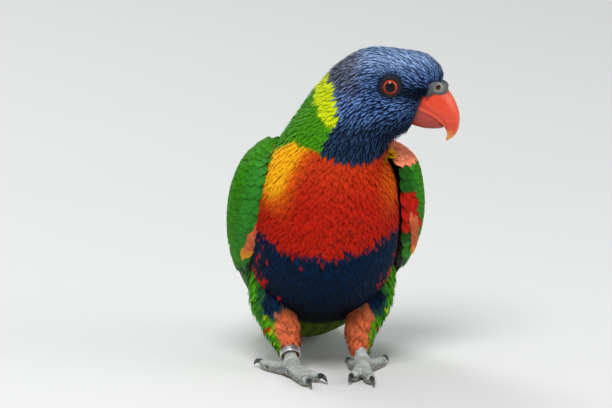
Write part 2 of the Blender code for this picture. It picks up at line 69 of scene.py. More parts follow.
# Rounded forms of the head: ahead, right, above, and three radii
CRANIUM = (-5.4, 0.0, -3.0, 20.8, 15.1, 18.4)
BROW = (8.0, 0.0, 1.4, 15.4, 11.2, 12.4)
CHEEKS = (2.4, 0.0, -9.8, 14.8, 13.4, 13.2)
HEAD_BLEND = 4.0
BILL_CORNER = (14.6, -6.6)
OVER_BILL = (24.9, -1.9)
UNDER_GAPE = (10.6, -17.5)
CERE = [(20.5, 3.1, -2.6, 4.6, 3.2, 3.2), (20.5, -3.1, -2.6, 4.6, 3.2, 3.2)]
THIGH = {
    -1.0: [(20.0, 16.0, 42.0, 13.0), (20.5, 10.0, 30.0, 12.0), (18.6, 5.5, 20.5, 9.3),
           (16.6, 3.0, 13.5, 6.8), (15.8, 1.2, 9.0, 5.0)],
    1.0: [(22.0, 16.0, 42.0, 13.0), (20.6, 10.0, 30.0, 11.6), (17.0, 5.5, 20.5, 9.0),
          (15.9, 3.0, 13.5, 6.7), (15.7, 1.2, 9.0, 5.0)],
}


def unit(rows):
    """The rows, each scaled to a length of one."""
    return rows / np.maximum(np.linalg.norm(rows, axis=-1, keepdims=True), 1e-12)


def smoothstep(low, high, value):
    """0 below low, 1 above high, and a smooth rise between them."""
    share = np.clip((value - low) / (high - low), 0, 1)
    return share * share * (3 - 2 * share)


def curve_through(rows, count):
    """count rows along a Catmull-Rom curve through the given rows, at an even spacing in space."""
    rows = np.array(rows, float)
    padded = np.vstack([2 * rows[0] - rows[1], rows, 2 * rows[-1] - rows[-2]])

    def at(t):
        i = np.clip(t.astype(int), 0, len(rows) - 2)
        f = (t - i)[:, None]
        a, b, c, d = (padded[i + k] for k in range(4))
        return 0.5 * (2 * b + (c - a) * f + (2 * a - 5 * b + 4 * c - d) * f**2
                      + (3 * b - a - 3 * c + d) * f**3)

    fine = np.linspace(0, len(rows) - 1, 60 * len(rows))
    run = np.linalg.norm(np.diff(at(fine)[:, :3], axis=0), axis=1)
    length = np.concatenate([[0], np.cumsum(run)])
    return at(np.interp(np.linspace(0, length[-1], count), length, fine))


def spine_frames(count):
    """Middles, unit axes (side, front, along) and half sizes of ellipsoids along the spine."""
    rows = curve_through(SPINE, count)
    middle = rows[:, :3]
    along = unit(np.gradient(middle, axis=0))
    yaw, pitch = np.radians(rows[:, 3]), np.radians(rows[:, 4])
    front = np.stack([np.sin(yaw) * np.cos(pitch), -np.cos(yaw) * np.cos(pitch), -np.sin(pitch)], 1)
    front = unit(front - (front * along).sum(1, keepdims=True) * along)
    side = np.cross(along, front)
    return middle, np.stack([side, front, along], 1), rows[:, 5:8]


def ellipsoid_distance(points, middle, axes, radii):
    """Close to the distance from an ellipsoid's surface, negative inside."""
    local = (points - middle) @ axes.T
    near = np.linalg.norm(local / radii, axis=1)
    steep = np.linalg.norm(local / radii**2, axis=1)
    return near * (near - 1) / np.maximum(steep, 1e-9)


def smooth_union(a, b, blend):
    """Distance from two forms together, with a fillet of about this width."""
    share = np.clip(0.5 + 0.5 * (b - a) / blend, 0, 1)
    return b + (a - b) * share - blend * share * (1 - share)


def side_of_line(local, start, end):
    """Distance from a line of the profile, negative on its right as it runs from start to end."""
    ahead, above = end[0] - start[0], end[1] - start[1]
    length = math.hypot(ahead, above)
    return ((local[:, 2] - start[1]) * ahead - (local[:, 0] - start[0]) * above) / length


def head_place(points):
    """Ahead, right and above of the middle between the eyes."""
    return (points - HEAD_CENTRE) @ HEAD_AXES.T


def head_world(local):
    """The bird's own place of points given ahead, right and above of the middle of the head."""
    return np.asarray(local).reshape(-1, 3) @ HEAD_AXES + HEAD_CENTRE


def body_form(points):
    """Distance from the feathered surface, and the place along the spine from 0 to 1."""
    middle, axes, radii = spine_frames(SPINE_BLOBS)
    near = np.stack([ellipsoid_distance(points, *blob) for blob in zip(middle, axes, radii)])
    neck = near.min(0)
    weight = np.exp(-(near - neck) / 1.5)
    place = (weight * np.linspace(0, 1, SPINE_BLOBS)[:, None]).sum(0) / weight.sum(0)
    local = head_place(points)

    def mound(ahead, right, above, *size):
        return ellipsoid_distance(local, (ahead, right, above), np.eye(3), np.array(size))

    head = smooth_union(mound(*CRANIUM), mound(*BROW), HEAD_BLEND)
    head = smooth_union(head, mound(*CHEEKS), HEAD_BLEND)
    over = side_of_line(local, BILL_CORNER, OVER_BILL)
    behind = side_of_line(local, UNDER_GAPE, BILL_CORNER)
    head = -smooth_union(-head, np.maximum(over, behind), 1.2)
    for nostril in CERE:
        head = smooth_union(head, mound(*nostril), 1.2)
    return smooth_union(neck, head, 6.0), place, head - neck


def cell_places(counts):
    """The three indices of every point of a grid, as rows."""
    return np.stack(np.meshgrid(*(np.arange(n) for n in counts), indexing="ij"), -1).reshape(-1, 3)


class Grid:
    """Distance from a form's surface, its slope and other values on a regular grid."""

    def __init__(self, low, step, values):
        self.low, self.step, self.values = np.array(low), step, values
        self.most = np.array(values.shape[:3]) - 1.001

    def at(self, points):
        place = np.clip((points - self.low) / self.step, 0, self.most)
        cell = place.astype(int)
        share = place - cell
        found = 0
        for corner in np.ndindex(2, 2, 2):
            weight = np.prod(np.where(corner, share, 1 - share), axis=1)
            i, j, k = (cell + corner).T
            found = found + self.values[i, j, k] * weight[:, None]
        return found

    def places(self):
        """Every point of the grid, as rows."""
        return cell_places(self.values.shape[:3]) * self.step + self.low

    def surface(self, values):
        """Points and quads of the surface where values are zero."""
        return surface_of(values, self.low, self.step)

    def outline(self):
        """Points and quads of the form's own surface."""
        return self.surface(self.values[..., 0].astype(float))


def grid_of(form, low, high, step, band=7.0, coarse=4):
    """A Grid of distance, its slope and the other values of form, exact within band of the surface."""
    low = np.array(low, float)
    counts = np.ceil((np.array(high) - low) / step).astype(int) + 1

    def read(places):
        parts = np.array_split(places, max(1, len(places) // 40000))
        return np.concatenate([np.stack(form(part), 1) for part in parts])

    few = counts // coarse + 2
    rough = read(cell_places(few) * coarse * step + low).reshape(*few, -1)
    values = rough[np.ix_(*(np.round(np.arange(n) / coarse).astype(int) for n in counts))]
    where = np.nonzero(np.abs(values[..., 0]) < band + coarse * step)
    values[where] = read(np.stack(where, 1) * step + low)
    slope = np.stack(np.gradient(values[..., 0], step), -1)
    values = np.concatenate([values[..., :1], slope, values[..., 1:]], -1).astype(np.float32)
    return Grid(low, step, values)


def surface_of(values, low, step):
    """Points and quads of the surface where values are zero: one point in each cell it crosses."""
    counts = values.shape
    total, hits, faces = np.zeros((*counts, 3)), np.zeros(counts), []
    index = np.arange(values.size).reshape(counts)
    for axis in range(3):
        u, v = (axis + 1) % 3, (axis + 2) % 3
        inner = [slice(1, -1)] * 3
        inner[axis] = slice(0, -1)
        ahead = list(inner)
        ahead[axis] = slice(1, None)
        a, b = values[tuple(inner)], values[tuple(ahead)]
        crossed = (a < 0) != (b < 0)
        where = np.stack(np.nonzero(crossed), 1) + [s.start for s in inner]
        a, b = a[crossed], b[crossed]
        point = where.astype(float)
        point[:, axis] += a / (a - b)
        cells = []
        for du, dv in ((1, 1), (0, 1), (0, 0), (1, 0)):
            cell = where.copy()
            cell[:, u] -= du
            cell[:, v] -= dv
            np.add.at(total, tuple(cell.T), point)
            np.add.at(hits, tuple(cell.T), 1)
            cells.append(index[tuple(cell.T)])
        quads = np.stack(cells, 1)
        quads[b < 0] = quads[b < 0][:, ::-1]
        faces.append(quads)
    faces = np.concatenate(faces)
    used, faces = np.unique(faces, return_inverse=True)
    points = total.reshape(-1, 3)[used] / hits.reshape(-1)[used][:, None] * step + low
    return points, faces.reshape(-1, 4)


def chain_form(rows):
    """A form round a chain of x, y, z and radius: distance, and the place along it from 0 to 1."""
    rows = np.array(rows, float)

    def form(points):
        best, place = np.full(len(points), 1e3), np.zeros(len(points))
        for i, (a, b) in enumerate(zip(rows[:-1], rows[1:])):
            way = b[:3] - a[:3]
            share = np.clip((points - a[:3]) @ way / (way @ way), 0, 1)
            gap = np.linalg.norm(points - a[:3] - share[:, None] * way, axis=1)
            gap = gap - (a[3] + (b[3] - a[3]) * share)
            nearer = gap < best
            best = np.where(nearer, gap, best)
            place = np.where(nearer, (i + share) / (len(rows) - 1), place)
        return best, place

    return form


# Meshes

SHIFT = np.zeros(3)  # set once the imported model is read


def to_metres(points):
    """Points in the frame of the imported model, in metres."""
    return (np.asarray(points, float).reshape(-1, 3) + SHIFT) * MM


def make_mesh(name, points, quads, tris, colours=None, vane=None, patches=None):
    """A smooth mesh from arrays. colours and vane are per point, patches per corner of a face."""
    quads = np.asarray(quads, np.int32).reshape(-1, 4)
    tris = np.asarray(tris, np.int32).reshape(-1, 3)
    corners = np.concatenate([quads.reshape(-1), tris.reshape(-1)])
    sizes = np.concatenate([np.full(len(quads), 4), np.full(len(tris), 3)]).astype(np.int32)
    mesh = bpy.data.meshes.new(name)
    mesh.vertices.add(len(points))
    mesh.vertices.foreach_set("co", to_metres(points).astype(np.float32).reshape(-1))
    mesh.loops.add(len(corners))
    mesh.loops.foreach_set("vertex_index", corners)
    mesh.polygons.add(len(sizes))
    mesh.polygons.foreach_set("loop_start", (np.cumsum(sizes) - sizes).astype(np.int32))
    mesh.update(calc_edges=True)
    mesh.shade_smooth()
    if colours is not None:
        layer = mesh.color_attributes.new("plumage", "FLOAT_COLOR", "POINT")
        rows = np.ones((len(points), 4), np.float32)
        rows[:, :3] = np.clip(colours.reshape(-1, 3), 0, 1)
        layer.data.foreach_set("color", rows.reshape(-1))
    if vane is not None:
        layer = mesh.attributes.new("vane", "FLOAT_VECTOR", "POINT")
        layer.data.foreach_set("vector", vane.astype(np.float32).reshape(-1))
    if patches is not None:
        layer = mesh.uv_layers.new(name="OFBake")
        layer.data.foreach_set("uv", patches[corners].astype(np.float32).reshape(-1))
    obj = bpy.data.objects.new(name, mesh)
    bpy.context.scene.collection.objects.link(obj)
    return obj


def finish_piece(obj, look, replaced=()):
    """Gives a piece its look and its body, and hides the nodes it stands for."""
    obj.data.materials.append(look)
    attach(obj, "root")
    if replaced:
        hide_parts(*replaced)


# Feathers

class Vane:
    """The grid of one feather: its web runs in strips that end in separate points at the tip."""

    def __init__(self, rows, strips):
        t, x = np.meshgrid(np.linspace(0, 1, rows)[:-1], np.linspace(-1, 1, strips + 1), indexing="ij")
        middles = (np.arange(strips) + 0.5) * 2 / strips - 1
        self.t = np.concatenate([t.reshape(-1), np.ones(strips)])
        self.x = np.concatenate([x.reshape(-1), middles])
        self.strips = strips
        quads, tris = [], []
        for j in range(strips):
            for k in range(rows - 2):
                a = k * (strips + 1) + j
                quads.append((a, a + 1, a + strips + 2, a + strips + 1))
            a = (rows - 2) * (strips + 1) + j
            tris.append((a, a + 1, (rows - 1) * (strips + 1) + j))
        self.quads, self.tris = np.array(quads), np.array(tris)
        self.strip = np.concatenate([np.tile(np.arange(strips + 1), rows - 1), np.arange(strips)])

    def outline(self, count, roundness, fringe, power=2.4):
        """Along and across for every point of count feathers, with a rounded, frayed tip."""
        ends = 1 - roundness * np.abs(self.x) ** power
        noise = RANDOM.normal(0, fringe, (count, self.strips + 1))
        frayed = ends + noise[:, self.strip] * smoothstep(0.45, 1.0, self.t)
        t = self.t * np.clip(frayed, 0.2, 1.08)
        return t, np.broadcast_to(self.x, t.shape)


PATCH_HALF = 0.0015  # half size of a feather's patch on the unwrap
UNWRAP_EDGE = 0.01


def vane_object(name, vane, points, colours, length, half_width, where, t, x):
    """One mesh of all the feathers. where is each root's place on the unwrap, from 0 to 1."""
    count, each = points.shape[:2]
    length, half_width = (np.broadcast_to(size, count)[:, None] for size in (length, half_width))
    first = np.arange(count)[:, None, None] * each
    seeds = RANDOM.uniform(0, 50, count)[:, None]
    grain = np.stack([x * half_width, t * length, np.broadcast_to(seeds, t.shape)], -1)
    middle = UNWRAP_EDGE + (1 - 2 * UNWRAP_EDGE) * where
    patch = np.stack([x, 2 * t - 1], -1) * PATCH_HALF + middle[:, None, :]
    return make_mesh(
        name, points.reshape(-1, 3), vane.quads + first, vane.tris + first,
        colours, grain.reshape(-1, 3), patch.reshape(-1, 2)
    )


def web_width(t, waist=0.45, narrow_tip=0.25):
    """Share of the full width along a feather."""
    return (waist + (1 - waist) * smoothstep(0, 0.45, t)) * (1 - narrow_tip * smoothstep(0.6, 1, t))


class Plumage:
    """Feathers that follow a form: a grid of its distance, and the lie of the feathers on it."""

    def __init__(self, grid, flow):
        self.grid, self.flow = grid, flow

    def settle(self, points, level):
        """The points moved along the form's slope to a level over it."""
        found = self.grid.at(points)
        return points + unit(found[:, 1:4]) * (level - found[:, 0])[:, None]

    def lay(self, vane, roots, length, half_width, depth, cup=0.2, wander=0.1, fringe=0.04,
            roundness=0.35, lift=0.25, rise=0.8, uneven=0.08):
        """Points of one feather from each root, and how far along and across each point is."""
        count, steps = len(roots), 9
        turn = RANDOM.normal(0, wander, count)
        level_shift = RANDOM.normal(0, uneven, count)
        tip_lift = np.abs(RANDOM.normal(0, lift, count))

        def level(t):
            start = -depth * np.clip(1 - t, 0, 1) ** rise
            return start + level_shift * t + tip_lift * smoothstep(0.6, 1, t)

        path = np.empty((count, steps, 3))
        point = roots
        for k, t in enumerate(np.linspace(0, 1, steps)):
            point = self.settle(point, level(t))
            path[:, k] = point
            normal = unit(self.grid.at(point)[:, 1:4])
            ahead = self.flow(point, normal)
            side = np.cross(normal, ahead)
            ahead = ahead * np.cos(turn)[:, None] + side * np.sin(turn)[:, None]
            point = point + ahead * (length / (steps - 1))[:, None]
        t, x = vane.outline(count, roundness, fringe)
        along = unit(np.gradient(path, axis=1))
        normal = unit(self.grid.at(path.reshape(-1, 3))[:, 1:4]).reshape(path.shape)
        side = unit(np.cross(normal, along))
        u = np.clip(t, 0, 1.0) * (steps - 1)
        i = np.clip(u.astype(int), 0, steps - 2)
        f = (u - i)[..., None]
        row = np.arange(count)[:, None]

        def between(values):
            return values[row, i] * (1 - f) + values[row, i + 1] * f

        wide = (web_width(t) * half_width[:, None] * x)[..., None]
        points = between(path) + between(side) * wide
        over = np.clip(t - 1, 0, 1)[..., None] * length[:, None, None]
        points = points + between(along) * over
        shape = level(t.T).T - cup * half_width[:, None] * x**2
        flat = self.settle(points.reshape(-1, 3), shape.reshape(-1))
        return flat.reshape(points.shape), t, x


class Sheet:
    """A curved sheet read at a (along) and b (across), both 0 to 1, with its outward normal."""

    def __init__(self, points, normals):
        self.points, self.normals = points, normals
        self.size = np.array(points.shape[:2]) - 1
        self.by_a = np.gradient(points, axis=0) * self.size[0]
        self.by_b = np.gradient(points, axis=1) * self.size[1]

    def read(self, values, a, b):
        """Values of the sheet's points, read between them and held at its edges."""
        u = np.clip(a, 0, 1) * self.size[0]
        v = np.clip(b, 0, 1) * self.size[1]
        i = np.minimum(u.astype(int), self.size[0] - 1)
        j = np.minimum(v.astype(int), self.size[1] - 1)
        f, g = (u - i)[..., None], (v - j)[..., None]
        return (
            values[i, j] * (1 - f) * (1 - g) + values[i + 1, j] * f * (1 - g)
            + values[i, j + 1] * (1 - f) * g + values[i + 1, j + 1] * f * g
        )

    def at(self, a, b):
        """Points and normals, which run straight on past the sheet's edges."""
        over_a = (a - np.clip(a, 0, 1))[..., None]
        over_b = (b - np.clip(b, 0, 1))[..., None]
        place = self.read(self.points, a, b)
        place = place + self.read(self.by_a, a, b) * over_a + self.read(self.by_b, a, b) * over_b
        return place, unit(self.read(self.normals, a, b))

    def lay(self, vane, start, end, half_width, low, high, bend=0.0, cup=0.15, fringe=0.02,
            roundness=0.3, power=2.4, narrow_tip=0.25, waist=0.45):
        """Feathers from start to end, both rows of (a, b). low and high are their levels."""
        count = len(start)
        t, x = vane.outline(count, roundness, fringe, power)
        half_width, low, high, bend = (
            np.broadcast_to(value, count)[:, None] for value in (half_width, low, high, bend)
        )
        a = start[:, :1] + (end - start)[:, :1] * t
        b = start[:, 1:] + (end - start)[:, 1:] * t + bend * 4 * t * (1 - t)
        slope_b = (end - start)[:, 1:] + bend * 4 * (1 - 2 * t)
        by_a, by_b = self.read(self.by_a, a, b), self.read(self.by_b, a, b)
        normal = unit(self.read(self.normals, a, b))
        along = by_a * (end - start)[:, :1, None] + by_b * slope_b[..., None]
        side = unit(np.cross(normal, along))
        wide = web_width(t, waist, narrow_tip) * half_width * x
        move = side * wide[..., None]
        aa, bb, ab = (by_a**2).sum(-1), (by_b**2).sum(-1), (by_a * by_b).sum(-1)
        ma, mb = (by_a * move).sum(-1), (by_b * move).sum(-1)
        flat = np.maximum(aa * bb - ab**2, 1e-6)
        place, normal = self.at(a + (ma * bb - mb * ab) / flat, b + (mb * aa - ma * ab) / flat)
        level = low + (high - low) * smoothstep(0, 0.8, t)
        level = level - cup * half_width * x**2
        return place + normal * level[..., None], t, x


def tree_of(points):
    """A search tree of the points."""
    tree = KDTree(len(points))
    for i, point in enumerate(points):
        tree.insert(point, i)
    tree.balance()
    return tree


def spread(points, gap):
    """Indices of points that are at least gap apart, taken in a seeded random order."""
    tree = tree_of(points)
    free = np.ones(len(points), bool)
    kept = []
    for i in RANDOM.permutation(len(points)):
        if free[i]:
            kept.append(i)
            for _, j, _ in tree.find_range(points[i], gap[i]):
                free[j] = False
    return np.array(kept)


def scatter(points, quads, count):
    """count random places on a surface of quads, evenly by area."""
    a, b, c, d = (points[quads[:, i]] for i in range(4))
    area = np.linalg.norm(np.cross(c - a, d - b), axis=1)
    chosen = RANDOM.choice(len(quads), count, p=area / area.sum())
    u, v = RANDOM.uniform(0, 1, (2, count, 1))
    a, b, c, d = (side[chosen] for side in (a, b, c, d))
    return (a * (1 - u) + b * u) * (1 - v) + (d * (1 - u) + c * u) * v


# Markings

YELLOW = np.array([0.52, 0.61, 0.003])
LEAF = np.array([0.062, 0.290, 0.002])
DARK_LEAF = np.array([0.016, 0.135, 0.002])
OLIVE = np.array([0.060, 0.085, 0.004])
AMBER = np.array([0.88, 0.41, 0.004])
ORANGE = np.array([0.66, 0.110, 0.003])
SCARLET = np.array([0.42, 0.008, 0.002])
NAVY = np.array([0.0008, 0.0120, 0.0400])
SALMON = np.array([0.60, 0.125, 0.045])
SHOULDER = np.array([0.92, 0.260, 0.140])
BLACKISH = np.array([0.012, 0.013, 0.012])
HOOD_DARK = np.array([0.004, 0.011, 0.040])
HOOD_LIGHT = np.array([0.165, 0.330, 0.760])
CROWN_LIGHT = np.array([0.420, 0.580, 0.900])
CROWN_DARK = np.array([0.060, 0.110, 0.230])
BROWNISH = np.array([0.090, 0.078, 0.074])
THROAT = np.array([0.005, 0.016, 0.040])
COOL_GREEN = np.array([0.020, 0.190, 0.040])
PALE_EDGE = np.array([0.16, 0.30, 0.02])

# Lower edge of the hood and upper edge of the belly: angle from the front, place along the spine
HOOD_EDGE = [
    (-180, 0.984), (-149, 0.984), (-126, 0.980), (-105, 0.969), (-78, 0.945), (-60, 0.921),
    (-54, 0.899), (-42, 0.849), (-30, 0.837), (6, 0.840), (14, 0.856), (21, 0.886), (27, 0.933),
    (60, 0.945), (110, 0.968), (180, 0.984),
]
# Width of the yellow collar by the angle from the front, along the spine
COLLAR = [(54, 0.0), (62, 0.025), (83, 0.041), (115, 0.046), (141, 0.034), (180, 0.032)]
BELLY_EDGE = [
    (-180, 0.60), (-74, 0.616), (-52, 0.606), (-20, 0.611), (12, 0.617), (40, 0.627), (58, 0.638),
    (74, 0.616), (180, 0.60),
]


def mix(a, b, share):
    """From a to b by a share for each point."""
    share = np.asarray(share)[..., None]
    return a * (1 - share) + b * share


def spine_place(place):
    """The form of the spine before each place, and the share of the way to the next one."""
    at = np.clip(place, 0, 1) * (SPINE_BLOBS - 1)
    before = np.clip(at.astype(int), 0, SPINE_BLOBS - 2)
    return before, (at - before)[:, None]


def around(points, place):
    """Angle about the spine from its front, in degrees, growing towards the bird's left."""
    middle, axes, _ = spine_frames(SPINE_BLOBS)
    i, f = spine_place(place)
    offset = points - middle[i] * (1 - f) - middle[i + 1] * f
    return np.degrees(np.arctan2((offset * axes[i, 0]).sum(1), (offset * axes[i, 1]).sum(1)))


def past_hood_edge(place, angle):
    """How far places lie up the spine from the lower edge of the hood."""
    return place - np.interp(angle, *np.array(HOOD_EDGE).T)


def body_markings(points, place):
    """Colour of the plumage at points of the body without its hood, and the way past its edge."""
    angle = around(points, place)
    off = np.abs(angle)
    over_hood = past_hood_edge(place, angle)
    breast = mix(SCARLET, ORANGE, smoothstep(0.72, 0.82, place) * 0.16 + 0.02)
    sides = smoothstep(34, 66, off) * smoothstep(0.66, 0.75, place) * np.where(angle > 0, 0.45, 1)
    breast = mix(breast, ORANGE, np.clip(sides * 1.6, 0, 1))
    breast = mix(breast, AMBER, smoothstep(0.45, 1, sides))
    mantle = mix(DARK_LEAF, LEAF, 0.65 * smoothstep(0.5, 0.85, place))
    behind = np.where(place > 0.80, 62 + (0.86 - place) * 500, 92)
    colour = mix(breast, mantle, smoothstep(-4, 4, off - np.clip(behind, 50, 96)))
    nape = np.where(angle < 0, (place > 0.837) & (off > 32), (place > 0.858) & (off > 44))
    colour = np.where(nape[:, None], mantle, colour)
    collar = (over_hood > -np.interp(off, *np.array(COLLAR).T)) & (off > 54)
    colour = np.where(collar[:, None], YELLOW, colour)
    belly = np.interp(angle, *np.array(BELLY_EDGE).T)
    low = (place < belly) & (off < 92)
    # Darker towards the lower belly: painted shade on the underside.
    colour = np.where(low[:, None], mix(NAVY, NAVY * 0.15, smoothstep(0.56, 0.38, place)), colour)
    # Towards the vent between the legs the colour turns to a dark olive: its own green, darkened by
    # painted shade between the legs.
    vent = smoothstep(0.34, 0.28, place)
    under = mix(OLIVE, mix(LEAF, YELLOW, 0.3), 0.12 + 0.10 * np.sin(points[:, 0] * 1.1))
    colour = mix(colour, mix(under, DARK_LEAF, smoothstep(60, 110, off)), vent)
    return colour, over_hood


def hood_markings(points):
    """Dark web and light shaft colours of the hood's feathers."""
    ahead, _, above = head_place(points).T
    crown = smoothstep(2, 12, above)
    dark = mix(HOOD_DARK, CROWN_DARK, crown)
    light = mix(HOOD_LIGHT, CROWN_LIGHT, crown)
    rear = smoothstep(-8, -19, ahead) * smoothstep(-12, 5, above)
    dark, light = mix(dark, BROWNISH * 0.4, 0.8 * rear), mix(light, BROWNISH * 1.8, 0.7 * rear)
    low = smoothstep(-10, -21, above)
    dark, light = mix(dark, THROAT * 0.6, low), mix(light, THROAT * 2.2, 0.92 * low)
    lore = np.exp(-((ahead - 11) / 7.5) ** 4 - ((above + 2.6 + 0.12 * ahead) / 3.0) ** 2)
    ring = np.exp(-((np.hypot(ahead, above) - 4.6) / 1.6) ** 2)
    gape = np.exp(-((ahead - 12) / 4.0) ** 2 - ((above + 14) / 7.0) ** 2)
    shade = np.clip(1.5 * lore + 0.8 * ring + 0.6 * gape, 0, 0.97)
    return mix(dark, THROAT * 0.3, shade), mix(light, THROAT * 0.9, shade)


# Form grids and the lie of the feathers

BODY_BOX = (-40, -44, -1), (62, 82, 152)
HEAD_BOX = (-12, -44, 84), (58, 20, 152)
THIGH_BOXES = {-1.0: ((-40, -14, 2), (-2, 34, 60)), 1.0: ((2, -14, 2), (40, 34, 60))}
BILL_POINT = np.array([21.0, 0.0, -7.0])  # ahead, right and above of the middle of the head
THIGH_COAT = 2.0  # depth of the feathers on the thighs


def on_surface(way, normal):
    """Unit directions with the part along the normal taken out."""
    return unit(way - (way * normal).sum(1, keepdims=True) * normal)


def body_flow(points, normal):
    """Along the spine to the tail, and on the head away from the bill."""
    middle, _, _ = spine_frames(SPINE_BLOBS)
    back = -unit(np.gradient(middle, axis=0))
    i, f = spine_place(BODY.at(points)[:, 4])
    down = back[i] * (1 - f) + back[i + 1] * f
    local = head_place(points) - BILL_POINT
    away = unit(local) @ HEAD_AXES
    share = smoothstep(44, 27, np.linalg.norm(local, axis=1))[:, None]
    return on_surface(down * (1 - share) + away * share, normal)


def thigh_rows(side):
    """The chain of one thigh: x, y, z and radius."""
    return np.array(THIGH[side]) * (side, 1, 1, 1)


def thigh_flow(side):
    """The lie of the feathers of one thigh: down, and more to the front near the ankle."""
    rows = thigh_rows(side)
    high = np.array([-0.05 * side, -0.25, -0.97])
    low = np.array([-0.10 * side, -0.42, -0.90])

    def flow(points, normal):
        share = smoothstep(rows[1, 2], rows[3, 2], points[:, 2])[:, None]
        return on_surface(high * (1 - share) + low * share, normal)

    return flow


def coat_depth(place, head_side):
    """How deep the skin lies under the feathers' outline."""
    on_head = smoothstep(2.0, -4.0, head_side)
    trunk = 1 - smoothstep(0.70, 0.90, place)
    return 1.1 + 1.2 * (1 - on_head) + 0.9 * trunk


def beyond_cut(points):
    """Distance up the neck from where the head's finer skin begins."""
    local = head_place(points)
    return (local[:, 0] + 8) * 0.35 + (local[:, 2] + 22) * 0.937


def grid_depth(grid):
    """The coat's depth at every point of a grid of the body."""
    return coat_depth(grid.values[..., 4], grid.values[..., 5])


def grid_cut(grid):
    """The distance beyond the cut at every point of a grid of the body."""
    return beyond_cut(grid.places()).reshape(grid.values.shape[:3])


# The skin

LEG_LOW, LEG_HIGH = np.array([-9.0, -32.0, -1.2]), np.array([40.0, 18.0, 17.0])
ANKLE = np.array([15.8, 3.0, 12.5])
KNUCKLE = np.array([15.6, -7.0, 4.4])
TARSUS_RADIUS = 2.7
SHANK_LENGTH, SHANK_REACH = 18.0, 1.34
SCUTE = 1.25
# Share of the way from ankle to knuckle, and of the radius there
SHANK = [(0, 1), (0.3, 0.96), (0.6, 1.02), (0.8, 1.3), (1.0, 1.62), (1.18, 1.45), (1.34, 0.8)]
# Place of each toe, its heading in degrees and its length
TOES = {
    "right": [("inner_front", 36, 16), ("outer_front", 10, 21), ("outer_back", -146, 19),
              ("inner_back", 164, 12)],
    "left": [("inner_front", -24, 16), ("outer_front", 2, 21), ("outer_back", 143, 18),
             ("inner_back", -164, 12)],
}
# Share of the toe's length, height and radius
TOE_SHAPE = [(0, 3.9, 3.0), (0.2, 3.2, 2.9), (0.42, 2.6, 2.75), (0.55, 2.6, 2.5),
             (0.72, 2.3, 2.5), (0.86, 2.3, 2.45), (1.0, 2.7, 1.7)]
# Reach past the toe's end, height and radius
CLAW_SHAPE = [(0.4, 2.8, 1.35), (2.0, 3.5, 1.25), (3.9, 3.3, 1.0), (5.4, 2.2, 0.7), (6.4, 0.75, 0.3)]


def toe_way(heading):
    """Unit direction of a toe along the floor."""
    return np.array([math.sin(math.radians(heading)), -math.cos(math.radians(heading)), 0.0])


def shank_rows(side):
    """The chain of one leg below its thigh: x, y, z and radius."""
    rows = []
    for share, factor in SHANK:
        place = ANKLE + (KNUCKLE - ANKLE) * share
        place[2] = max(place[2], KNUCKLE[2])
        rows.append((place[0] * side, place[1], place[2], TARSUS_RADIUS * factor))
    return rows


def toe_rows(side, heading, length):
    """The chain of one toe: x, y, z and radius."""
    way = toe_way(heading)
    knuckle = KNUCKLE * (side, 1, 1)
    return [(*(knuckle * (1, 1, 0) + way * length * share + UP * height), radius)
            for share, height, radius in TOE_SHAPE]


def cells(points, size, seed):
    """Distance to the middle of the nearest random cell, as a share of the cells' size."""
    base = np.floor(points / size)
    best = np.full(len(points), 9.0)
    for corner in np.ndindex(3, 3, 3):
        cell = base + corner - 1
        jitter = np.sin(cell @ np.array([[12.9, 39.3, 73.1], [78.2, 11.1, 52.2], [37.7, 83.1, 9.7]])
                        + seed) * 43758.5
        middle = (cell + 0.5 + 0.36 * (2 * (jitter - np.floor(jitter)) - 1)) * size
        best = np.minimum(best, np.linalg.norm(points - middle, axis=1) / size)
    return best


def foot_form(name, side):
    """A leg and foot: distance, and the swell of the scutes across the toes."""
    chains = [(chain_form(shank_rows(side)), SHANK_LENGTH, SHANK_REACH)]
    for _, heading, length in TOES[name]:
        chains.append((chain_form(toe_rows(side, heading, length)), length, 1.0))

    def form(points):
        total, scales = np.full(len(points), 1e3), np.zeros(len(points))
        for chain, length, reach in chains:
            gap, along = chain(points)
            run = along * length * reach / SCUTE
            scute = 1 - (2 * (run - np.floor(run)) - 1) ** 4
            scales = np.where(gap < total, scute, scales)
            total = smooth_union(total, gap, 1.1)
        return total, scales

    return form


def foot_mesh(name, side):
    """Points, quads and colours of a bare leg and foot, with scutes above and small scales below."""
    low, high = LEG_LOW.copy(), LEG_HIGH.copy()
    if side < 0:
        low[0], high[0] = -LEG_HIGH[0], -LEG_LOW[0]
    step = 0.33
    grid = grid_of(foot_form(name, side), low, high, step, band=1.6)
    values = grid.values[..., 0].astype(float)
    z = low[2] + np.arange(values.shape[2]) * step
    points, quads = surface_of(np.maximum(values, 0.02 - z), low, step)
    found = grid.at(points)
    normal = unit(found[:, 1:4])
    granule = 1 - np.clip(cells(points, 0.95, 3.0) * 1.75, 0, 1) ** 3
    topside = smoothstep(0.1, 0.6, normal[:, 2] + 0.25 * (points[:, 2] > 6))
    scale = granule * (1 - topside) + found[:, 4] * topside
    off_floor = smoothstep(0.25, 0.8, points[:, 2])
    points = points + normal * (scale * 0.2 - 0.12)[:, None] * off_floor[:, None]
    points[:, 2] = np.maximum(points[:, 2], 0.0)
    pale, groove = np.array([0.41, 0.44, 0.42]), np.array([0.085, 0.088, 0.085])
    sole = np.array([0.36, 0.31, 0.25])
    shade = mix(groove, pale, np.clip(scale, 0, 1) ** 0.7)
    shade = mix(shade, sole, 0.7 * smoothstep(-0.1, -0.7, normal[:, 2]))
    blotch = 0.5 + 0.5 * np.sin(points @ np.array([0.9, 1.3, 0.7]) + 2 * np.sin(points[:, 1] * 0.7))
    return points, quads, shade * (0.86 + 0.2 * blotch)[:, None]


